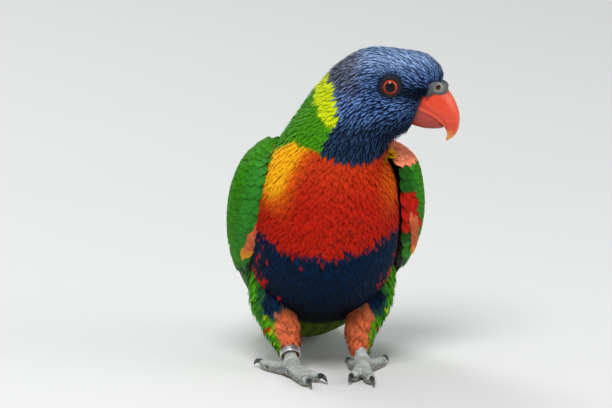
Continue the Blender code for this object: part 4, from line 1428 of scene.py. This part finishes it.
def tail_coverts(rows, name, sign, span, base):
    """The coverts over (sign 1) or under (sign -1) the roots of the tail feathers."""
    run, width = rows[:, 1], rows[:, 3]
    starts = []
    for k, a in enumerate(np.linspace(0, span, 15)):
        count = int(np.interp(TAIL[0][0] + a * TAIL_RUN, run, width) * 2 / 2.6)
        starts += [(a, (j + 0.5 + 0.5 * (k % 2)) / (count + 0.5)) for j in range(count)]
    starts = np.array(starts)
    share = np.linspace(-1, 1, 33)
    across = rows[:, 3:4] * share
    height = rows[:, 2:3] + sign * rows[:, 4:5] * np.sqrt(np.clip(1 - share**2, 0, 1))
    face = np.stack([across, np.broadcast_to(rows[:, 1:2], across.shape), np.maximum(height, 0.1)], -1)
    out = unit(np.cross(np.gradient(face, axis=1), np.gradient(face, axis=0)))
    out = out * np.sign(out[..., 2:3].mean()) * sign
    length = RANDOM.uniform(11, 15, len(starts))
    ends = starts + np.stack([length / TAIL_RUN, 0 * length], 1)
    vane = Vane(7, 6)
    laid, t, x = Sheet(face, out).lay(vane, starts, ends, COVERT_HALF_WIDTH, -1.2, 0.0, cup=0.08)
    laid[..., 2] = np.maximum(laid[..., 2], 0.05)
    tone = mix(base, YELLOW, RANDOM.uniform(0, 0.3, len(starts)) * (sign < 0))
    colours = feather_colours(tone, t, 0.12)
    return vane_object(name, vane, laid, colours, length, COVERT_HALF_WIDTH, starts, t, x)


def tail_feathers(look):
    """The tail feathers, and the coverts over and under their roots."""
    rows = tail_rows(60)
    pieces = [
        tail_quills(rows),
        tail_coverts(rows, "upper", 1, 0.46, LEAF),
        tail_coverts(rows, "under", -1, 0.5, OLIVE),
    ]
    finish_piece(joined(pieces, "coat_tail"), look)


# Eyes, bill, claws and ring

IRIS_RADIUS = 3.35
PUPIL_RADIUS = 1.9
PUPIL = np.array([0.003, 0.003, 0.004])
PUPIL_EDGE = np.array([0.012, 0.013, 0.009])
IRIS_INNER = np.array([0.30, 0.060, 0.022])
IRIS_OUTER = np.array([0.45, 0.035, 0.016])
IRIS_RIM = np.array([0.020, 0.014, 0.014])
EYE_BACK = np.array([0.01, 0.01, 0.01])
LID_DARK = np.array([0.004, 0.006, 0.008])
LID_PALE = np.array([0.022, 0.027, 0.033])
LID_EDGE = np.array([0.006, 0.005, 0.006])
# Lateral place and radius of the lids, from outside over the rim to the eyeball
LIDS = [
    (12.8, 5.15), (13.4, 5.0), (13.9, 4.8), (14.3, 4.55), (14.6, 4.3), (14.76, 4.08),
    (14.80, 3.85), (14.72, 3.60), (14.54, 3.40), (14.2, 3.27), (13.7, 3.25), (13.2, 3.32),
]


def lathe(profile, side, count):
    """Rings round the eye's axis. profile holds lateral place and radius, from the middle outwards."""
    turn = np.linspace(0, 2 * np.pi, count, endpoint=False)
    profile = np.array(profile, float)
    rings = np.stack([
        profile[:, 1:2] * np.cos(turn),
        np.broadcast_to(-side * profile[:, 0:1], (len(profile), count)),
        profile[:, 1:2] * np.sin(turn),
    ], -1)
    return rings, turn


def build_eye(name, side, look):
    """An eyeball with pupil and iris, clear and wet over them."""
    polar = np.radians(np.concatenate([np.linspace(0.6, 62, 62), np.linspace(66, 176, 20)]))
    profile = np.stack([EYE_SIDE + EYE_RADIUS * np.cos(polar), EYE_RADIUS * np.sin(polar)], 1)
    cornea = (profile[:, 1] < 3.6) & (polar < 1.5)
    profile[cornea, 0] += 0.12 * (1 - (profile[cornea, 1] / 3.6) ** 2)
    rings, turn = lathe(profile, side, 120)
    radius = np.broadcast_to(profile[:, 1:2], rings.shape[:2])
    at = np.broadcast_to(turn, radius.shape)
    fibre = 0.5 + 0.5 * np.sin(at * 41 + 2.2 * np.sin(at * 13) + radius * 2.0)
    fibre = fibre * (0.6 + 0.4 * np.sin(at * 67 + radius * 6))
    colour = mix(IRIS_INNER, IRIS_OUTER, smoothstep(2.2, 2.7, radius)) * (0.7 + 0.5 * fibre)[..., None]
    colour = mix(colour, PUPIL_EDGE, smoothstep(2.48, 2.18, radius))
    colour = mix(colour, PUPIL, smoothstep(0.06, -0.06, radius - PUPIL_RADIUS))
    behind = np.broadcast_to(profile[:, 0:1] < EYE_SIDE, radius.shape)
    rim = np.clip(smoothstep(IRIS_RADIUS - 0.35, IRIS_RADIUS, radius) + behind, 0, 1)
    colour = mix(colour, IRIS_RIM, rim)
    points, quads, tris = tube(rings, turned=side < 0)
    colour = np.concatenate([colour.reshape(-1, 3), [PUPIL, EYE_BACK]])
    obj = make_mesh(f"eyeball_{name}", head_world(points), quads, tris, colour)
    finish_piece(obj, look, [f"eye_{name}"])


def build_lids(name, side, look):
    """The bare, finely wrinkled ring of skin round an eye, with its thin wet edge."""
    profile = curve_through([(a, r, 0) for a, r in LIDS], 44)[:, :2]
    rings, turn = lathe(profile, side, 180)
    radius = profile[:, 1:2] + 0 * turn
    fold = np.sin(turn * 3 + 1.0) * 0.05
    wrinkle = np.sin((radius + fold) * 12.5) * smoothstep(3.6, 4.1, radius) * 0.07
    beads = np.sin(turn * 38 + radius * 4) * smoothstep(3.75, 4.0, radius) * smoothstep(5.4, 4.6, radius)
    lift = wrinkle + 0.05 * beads
    rings[..., 1] += -side * lift
    # The ring follows the side of the head, which slopes in towards the front and the crown
    lean = -0.055 * rings[..., 0] - 0.045 * rings[..., 2]
    rings[..., 1] += -side * lean * smoothstep(3.6, 5.6, radius)
    # Lighter on the raised wrinkles and beads, darker in the creases: painted highlight and painted
    # shade.
    colour = mix(LID_DARK, LID_PALE, np.clip(0.35 + 3.0 * lift, 0, 1))
    colour = mix(colour, LID_EDGE, smoothstep(3.80, 3.45, radius))
    points, quads, tris = tube(rings, capped=False, turned=side > 0)
    obj = make_mesh(f"lids_{name}", head_world(points), quads, tris, colour.reshape(-1, 3))
    finish_piece(obj, look)


# Ahead and above of the ridge and of the cutting edge, and the half width
UPPER_BILL = [
    (19.5, 1.0, 8.0, -10.5, 6.0), (23.0, -1.2, 10.5, -11.5, 6.6), (25.6, -4.6, 13.6, -12.6, 6.7),
    (28.2, -9.2, 17.5, -14.4, 6.2), (29.9, -14.8, 21.2, -17.3, 5.2), (29.6, -20.2, 23.5, -20.0, 3.9),
    (28.0, -23.7, 24.5, -22.8, 2.6), (25.8, -25.6, 24.3, -24.9, 1.3), (24.3, -26.4, 23.9, -26.1, 0.35),
]
LOWER_BILL = [
    (6.5, -9.6, 6.5, -18.0, 5.6), (11.5, -10.9, 10.8, -19.6, 6.7), (15.8, -12.4, 15.0, -20.6, 6.5),
    (19.4, -15.0, 18.9, -20.8, 5.5), (22.0, -17.8, 21.8, -20.6, 3.8), (23.0, -19.5, 22.9, -20.3, 1.0),
]


UPPER_RED = np.array([0.60, 0.045, 0.012])
UPPER_HIGHLIGHT = np.array([0.72, 0.115, 0.050])
UPPER_TIP = np.array([0.80, 0.36, 0.060])
UPPER_GROOVE_SHADE = np.array([0.30, 0.020, 0.014])
UPPER_ROOT = np.array([0.42, 0.05, 0.04])
LOWER_RED = np.array([0.34, 0.030, 0.018])
LOWER_EDGE_SHADE = np.array([0.16, 0.014, 0.010])
LOWER_TIP = np.array([0.60, 0.14, 0.04])


def with_ends(colour):
    """Colours of a tube's points, with those of the two points that close it."""
    return np.concatenate([colour, colour[:1], colour[-1:]])


def build_bill(name, rows, upper, look):
    """One half of the bill as a fine horn with a ridge, a cutting edge and faint growth lines."""
    fine = curve_through([(row[0], row[1], row[4], *row) for row in rows], 90)[:, 3:]
    turn = np.linspace(-np.pi / 2, np.pi / 2, 57)
    share = 1 - np.cos(turn)
    ridge, edge = (fine[:, 0:2], fine[:, 2:4]) if upper else (fine[:, 2:4], fine[:, 0:2])
    place = ridge[:, None] + (edge - ridge)[:, None] * share[None, :, None]
    wide = np.sign(turn) * np.abs(np.sin(turn)) ** (0.85 if upper else 0.62) * fine[:, 4:5]
    along = np.linspace(0, 1, len(fine))[:, None]
    rim = np.exp(-((share - 0.93) / 0.05) ** 2)
    groove = np.exp(-((share - 0.80) / 0.05) ** 2)
    swell = (0.10 * rim - 0.10 * groove) * smoothstep(0, 0.1, along) * smoothstep(1.0, 0.8, along)
    growth = 0.004 * np.sin(along * 95 + 5 * share + 1.5 * np.sin(share * 7))
    wide = wide * (1 + (swell + growth * smoothstep(0.9, 0.6, along)) / 4.0)
    shell = np.stack([place[..., 0], wide, place[..., 1]], -1)
    roof = np.linspace(0, 1, 9)[1:-1]
    first, last = shell[:, -1:], shell[:, :1]
    under = first + (last - first) * roof[None, :, None]
    inside = (ridge - edge)[:, None] * (0.22 * np.sin(np.pi * roof))[None, :, None]
    under[..., 0] += inside[..., 0]
    under[..., 2] += inside[..., 1]
    points, quads, tris = tube(np.concatenate([shell, under], 1), turned=not upper)
    if upper:
        # Lighter along the ridge and on the raised rim, darker in the groove beside it: painted highlight
        # and painted shade.
        colour = mix(UPPER_RED, UPPER_HIGHLIGHT, np.exp(-(share / 0.16) ** 2) * 0.8 + 0 * along)
        colour = mix(colour, UPPER_GROOVE_SHADE, 0.7 * groove * smoothstep(0.95, 0.7, along))
        colour = mix(colour, UPPER_HIGHLIGHT, 0.35 * rim + 0 * along)
        colour = mix(colour, UPPER_TIP, smoothstep(0.70, 0.93, along - 0.06 * (1 - share)))
        colour = mix(colour, UPPER_ROOT, 0.5 * (smoothstep(0.10, 0.0, along) + 0 * share))
    else:
        # Darker towards the cutting edge under the upper bill: painted shade.
        colour = mix(LOWER_RED, LOWER_EDGE_SHADE, 0.5 * smoothstep(0.80, 1.0, share) + 0 * along)
        colour = mix(colour, LOWER_TIP, 0.6 * smoothstep(0.8, 1.0, along) + 0 * share)
    lines = 1 + 0.03 * np.sin(along * 60 + 6 * share) + 0.02 * np.sin(along * 143 + 11 * share)
    colour = colour * lines[..., None]
    # The closing underside inside the bill is darker: painted shade.
    inside = np.broadcast_to(colour[:, -1:] * 0.6, (*under.shape[:2], 3))
    colour = with_ends(np.concatenate([colour, inside], 1).reshape(-1, 3))
    obj = outward(make_mesh(f"horn_{name}", head_world(points), quads, tris, colour))
    finish_piece(obj, look, [name])


def outward(obj):
    """Turns the faces of a closed mesh outwards."""
    form = bmesh.new()
    form.from_mesh(obj.data)
    bmesh.ops.recalc_face_normals(form, faces=form.faces)
    form.to_mesh(obj.data)
    form.free()
    return obj


CLAW_ROWS, CLAW_AROUND = 26, 20
CLAW_ROOT = np.array([0.060, 0.062, 0.064])
CLAW_DARK = np.array([0.018, 0.018, 0.020])


def build_claw(name, side, toe, heading, length, look):
    """A curved, slightly flattened claw with a fine point and a groove under it."""
    way = toe_way(heading)
    across = np.array([way[1], -way[0], 0.0])
    end = KNUCKLE * (side, 1, 0) + way * length
    rows = curve_through([(run, height, 0, radius) for run, height, radius in CLAW_SHAPE], CLAW_ROWS)
    run, height, radius = rows[:, 0], rows[:, 1], rows[:, 3]
    radius = radius * np.clip(1.02 - np.linspace(0, 1, CLAW_ROWS) ** 6, 0.1, 1)
    lean = np.arctan(np.gradient(height) / np.gradient(run))
    turn = np.linspace(0, 2 * np.pi, CLAW_AROUND, endpoint=False)
    rings = []
    for i in range(CLAW_ROWS):
        middle = end + way * run[i] + UP * height[i]
        rise = way * -np.sin(lean[i]) + UP * np.cos(lean[i])
        form = radius[i] * (1 - 0.12 * np.exp(-((turn - 1.5 * np.pi) / 0.35) ** 2))
        rings.append(middle + across * (0.82 * form * np.cos(turn))[:, None]
                     + rise * (form * np.sin(turn))[:, None])
    points, quads, tris = tube(rings)
    points[:, 2] = np.maximum(points[:, 2], 0.0)
    along = np.repeat(np.linspace(0, 1, CLAW_ROWS), CLAW_AROUND)
    colour = mix(CLAW_ROOT, CLAW_DARK, smoothstep(0, 0.4, along))
    colour = with_ends(colour * (1 + 0.15 * np.sin(along * 40))[:, None])
    obj = outward(make_mesh(f"horn_claw_{name}_{toe}", points, quads, tris, colour))
    finish_piece(obj, look, [f"claw_{name}_{toe}"])


RING_OUTSIDE, RING_WALL, RING_HALF, RING_ROUNDING = 4.5, 0.65, 2.3, 0.18


def build_ring(look):
    """The plain metal ring on the right leg: rounded edges, and the thin seam where it closes."""
    ankle, knuckle = ANKLE * (-1, 1, 1), KNUCKLE * (-1, 1, 1)
    way = unit(knuckle - ankle)
    side = unit(np.cross(way, UP))
    top = np.cross(side, way)
    middle = ankle + (knuckle - ankle) * 0.36 + top * 0.3
    inside = RING_OUTSIDE - RING_WALL + RING_ROUNDING
    outside, half = RING_OUTSIDE - RING_ROUNDING, RING_HALF - RING_ROUNDING
    corners = [(inside, -half, 180), (inside, half, 90), (outside, half, 0), (outside, -half, 270)]
    profile = []
    for r, w, start in corners:
        for a in np.radians(np.linspace(start + 90, start, 6)):
            profile.append((r + RING_ROUNDING * math.cos(a), w + RING_ROUNDING * math.sin(a)))
    turn = np.radians(np.linspace(142, 142 + 358.2, 150))
    rings = [[middle + (side * math.cos(a) + top * math.sin(a)) * r + way * w for r, w in profile]
             for a in turn]
    obj = outward(make_mesh("ring", *tube(rings)))
    finish_piece(obj, look, ["leg_ring"])


# Materials

def set_values(made, values):
    """Sets sockets, or else settings, of a node. An underscore stands for a space in a socket's name."""
    for key, value in values.items():
        socket = key.replace("_", " ")
        if socket in made.inputs:
            made.inputs[socket].default_value = value
        else:
            setattr(made, key, value)


def new_look(name, **values):
    """A new material, its node tree and its shader with the given values."""
    look = bpy.data.materials.new(name)
    look.use_nodes = True
    shader = look.node_tree.nodes["Principled BSDF"]
    set_values(shader, values)
    return look, look.node_tree, shader


def node(tree, kind, **values):
    """A new node of a kind with the given values."""
    made = tree.nodes.new("ShaderNode" + kind)
    set_values(made, values)
    return made


def wire(tree, links):
    """Links from outputs to inputs, as rows of node, output, node and input."""
    for source, output, target, socket in links:
        tree.links.new(source.outputs[output], target.inputs[socket])


def plumage_look():
    """Feathers: the mesh's own colours, with fine slanting barbs across each web."""
    look, tree, shader = new_look("plumage", Roughness=0.62, Specular_IOR_Level=0.07)
    colour = node(tree, "VertexColor", layer_name="plumage")
    vane = node(tree, "Attribute", attribute_name="vane")
    parts = node(tree, "SeparateXYZ")
    across = node(tree, "Math", operation="ABSOLUTE")
    slant = node(tree, "Math", operation="MULTIPLY_ADD")
    slant.inputs[1].default_value = -0.9
    barbs = node(tree, "Math", operation="MULTIPLY")
    barbs.inputs[1].default_value = 17.0
    wave = node(tree, "Math", operation="SINE")
    noise = node(tree, "TexNoise", Scale=1.6, Detail=3.0)
    shade = node(tree, "MapRange", From_Min=-1.0, To_Min=0.86, To_Max=1.06)
    uneven = node(tree, "MapRange", From_Min=0.3, From_Max=0.7, To_Min=0.82, To_Max=1.14)
    tone = node(tree, "Math", operation="MULTIPLY")
    blend = node(tree, "VectorMath", operation="SCALE")
    bump = node(tree, "Bump", Strength=0.25, Distance=0.00006)
    wire(tree, [
        (vane, "Vector", parts, 0), (parts, "X", across, 0), (across, 0, slant, 0),
        (parts, "Y", slant, 2), (slant, 0, barbs, 0), (barbs, 0, wave, 0), (wave, 0, shade, "Value"),
        (vane, "Vector", noise, "Vector"), (noise, "Fac", uneven, "Value"), (shade, 0, tone, 0),
        (uneven, 0, tone, 1), (colour, "Color", blend, 0), (tone, 0, blend, "Scale"),
        (blend, 0, shader, "Base Color"), (wave, 0, bump, "Height"), (bump, 0, shader, "Normal"),
    ])
    return look


def coloured_look(name, grain, depth, contrast, **values):
    """A surface with the mesh's own colours, uneven by a noise of the given grain (1/m)."""
    look, tree, shader = new_look(name, **values)
    colour = node(tree, "VertexColor", layer_name="plumage")
    place = node(tree, "TexCoord")
    noise = node(tree, "TexNoise", Scale=grain, Detail=5.0)
    uneven = node(tree, "MapRange", From_Min=0.3, From_Max=0.7, To_Min=1 - contrast, To_Max=1 + contrast)
    blend = node(tree, "VectorMath", operation="SCALE")
    bump = node(tree, "Bump", Strength=0.4, Distance=depth)
    wire(tree, [
        (place, "Object", noise, "Vector"), (noise, "Fac", uneven, "Value"),
        (colour, "Color", blend, 0), (uneven, 0, blend, "Scale"), (blend, 0, shader, "Base Color"),
        (noise, "Fac", bump, "Height"), (bump, 0, shader, "Normal"),
    ])
    return look


def metal_look():
    """Worn plain metal with fine scratches across it."""
    look, tree, shader = new_look("ring metal", Metallic=1.0, Roughness=0.34)
    place = node(tree, "TexCoord")
    stretch = node(tree, "Mapping", Scale=(500, 500, 3500))
    noise = node(tree, "TexNoise", Scale=1.0, Detail=4.0)
    tone = node(tree, "MapRange", To_Min=0.55, To_Max=0.82)
    rough = node(tree, "MapRange", To_Min=0.25, To_Max=0.5)
    bump = node(tree, "Bump", Strength=0.2, Distance=0.00004)
    wire(tree, [
        (place, "Object", stretch, "Vector"), (stretch, 0, noise, "Vector"),
        (noise, "Fac", tone, "Value"), (noise, "Fac", rough, "Value"), (noise, "Fac", bump, "Height"),
        (tone, 0, shader, "Base Color"), (rough, 0, shader, "Roughness"), (bump, 0, shader, "Normal"),
    ])
    return look


# Floor, light and camera

FLOOR_REACH = 6.0


def build_floor():
    """A plain pale floor."""
    mesh = bpy.data.meshes.new("floor")
    low, high = -FLOOR_REACH, FLOOR_REACH
    mesh.from_pydata([(low, low, 0), (high, low, 0), (high, high, 0), (low, high, 0)], [], [(0, 1, 2, 3)])
    floor = bpy.data.objects.new("floor", mesh)
    bpy.context.scene.collection.objects.link(floor)
    look, tree, shader = new_look("floor", Roughness=0.9)
    noise = node(tree, "TexNoise", Scale=30.0, Detail=3.0)
    tone = node(tree, "MapRange", To_Min=0.66, To_Max=0.70)
    wire(tree, [(noise, "Fac", tone, "Value"), (tone, 0, shader, "Base Color")])
    mesh.materials.append(look)


def add_light(name, place, aim, size, power):
    """A round soft light that faces aim."""
    light = bpy.data.lights.new(name, "AREA")
    light.shape = "DISK"
    light.size = size
    light.energy = power
    lamp = bpy.data.objects.new(name, light)
    lamp.location = place
    lamp.rotation_euler = (Vector(aim) - Vector(place)).to_track_quat("-Z", "Y").to_euler()
    bpy.context.scene.collection.objects.link(lamp)


CAMERA_TURN, CAMERA_RISE = math.radians(-8), math.radians(12)
CAMERA_DISTANCE = 3.2
SENSOR = 36
PIXEL = 0.44 * MM
PICTURE = (612, 408)
FOOT_PIXEL = (325, 372)


def add_camera():
    """The photo's view, with the point between the feet at its pixel."""
    sine, cosine = math.sin(CAMERA_TURN), math.cos(CAMERA_TURN)
    level, rise = math.cos(CAMERA_RISE), math.sin(CAMERA_RISE)
    back = np.array([sine * level, -cosine * level, rise])
    right = np.array([cosine, sine, 0.0])
    up = np.cross(back, right)
    aim = SHIFT * MM + right * (PICTURE[0] / 2 - FOOT_PIXEL[0]) * PIXEL
    aim = aim + up * (FOOT_PIXEL[1] - PICTURE[1] / 2) * PIXEL
    data = bpy.data.cameras.new("camera")
    data.sensor_width = SENSOR
    data.lens = SENSOR * CAMERA_DISTANCE / (PICTURE[0] * PIXEL)
    data.clip_start = 0.05
    camera = bpy.data.objects.new("camera", data)
    camera.location = aim + back * CAMERA_DISTANCE
    camera.rotation_euler = Vector(-back).to_track_quat("-Z", "Y").to_euler()
    bpy.context.scene.collection.objects.link(camera)
    bpy.context.scene.camera = camera


def light_scene():
    """A soft studio: pale surroundings and three lights."""
    scene = bpy.context.scene
    scene.view_settings.view_transform = "Standard"
    scene.world = bpy.data.worlds.new("studio")
    scene.world.use_nodes = True
    backdrop = scene.world.node_tree.nodes["Background"]
    backdrop.inputs["Color"].default_value = (0.90, 0.95, 0.92, 1)
    backdrop.inputs["Strength"].default_value = 0.42
    aim = (0.0, -0.06, 0.08)
    add_light("key", (-0.35, -1.3, 1.6), aim, 0.8, 34)
    add_light("fill", (1.3, -0.9, 0.7), aim, 1.2, 7)
    add_light("rim", (-0.7, 1.1, 1.1), aim, 0.8, 10)


# Build

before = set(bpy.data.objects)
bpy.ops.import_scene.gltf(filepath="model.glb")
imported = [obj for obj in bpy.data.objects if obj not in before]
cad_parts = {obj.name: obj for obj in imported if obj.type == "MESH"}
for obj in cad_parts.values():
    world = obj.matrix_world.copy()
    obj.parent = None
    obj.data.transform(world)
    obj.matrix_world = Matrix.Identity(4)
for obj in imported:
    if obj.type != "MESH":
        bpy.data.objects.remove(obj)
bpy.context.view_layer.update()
eye_low, eye_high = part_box("eye_right")
designed = HEAD_CENTRE + HEAD_RIGHT * EYE_SIDE
SHIFT = (np.array(eye_low) + np.array(eye_high)) / 2 / MM - designed
SHIFT[2] = 0.0

grid_step = 1.25
BODY = grid_of(body_form, *BODY_BOX, grid_step)
HEAD = grid_of(body_form, *HEAD_BOX, 0.7 * grid_step, band=3.0)
THIGHS = {
    side: grid_of(chain_form(thigh_rows(side)), *THIGH_BOXES[side], 1.0, band=6.0)
    for side in SIDES.values()
}

feather = plumage_look()
skin = coloured_look("skin", 900, 0.00008, 0.14, Roughness=0.68, Specular_IOR_Level=0.2)
horn = coloured_look("bill horn", 700, 0.00003, 0.07, Roughness=0.30, Specular_IOR_Level=0.5,
                     Subsurface_Weight=0.08, Subsurface_Scale=0.001)
claw = coloured_look("claw horn", 900, 0.00003, 0.20, Roughness=0.33, Specular_IOR_Level=0.5)
eye = coloured_look("eye", 1500, 0.0, 0.05, Roughness=0.5, Specular_IOR_Level=0.0, Coat_Weight=0.35,
                    Coat_Roughness=0.03)
ring = metal_look()

build_skin(skin)
body_feathers(feather)
thigh_feathers(feather)
wing_feathers(feather)
mantle_feathers(feather)
tail_feathers(feather)
for name, side in SIDES.items():
    build_eye(name, side, eye)
    build_lids(name, side, skin)
    for toe, heading, length in TOES[name]:
        build_claw(name, side, toe, heading, length, claw)
build_bill("bill_upper", UPPER_BILL, True, horn)
build_bill("bill_lower", LOWER_BILL, False, horn)
build_ring(ring)
build_floor()
light_scene()
add_camera()
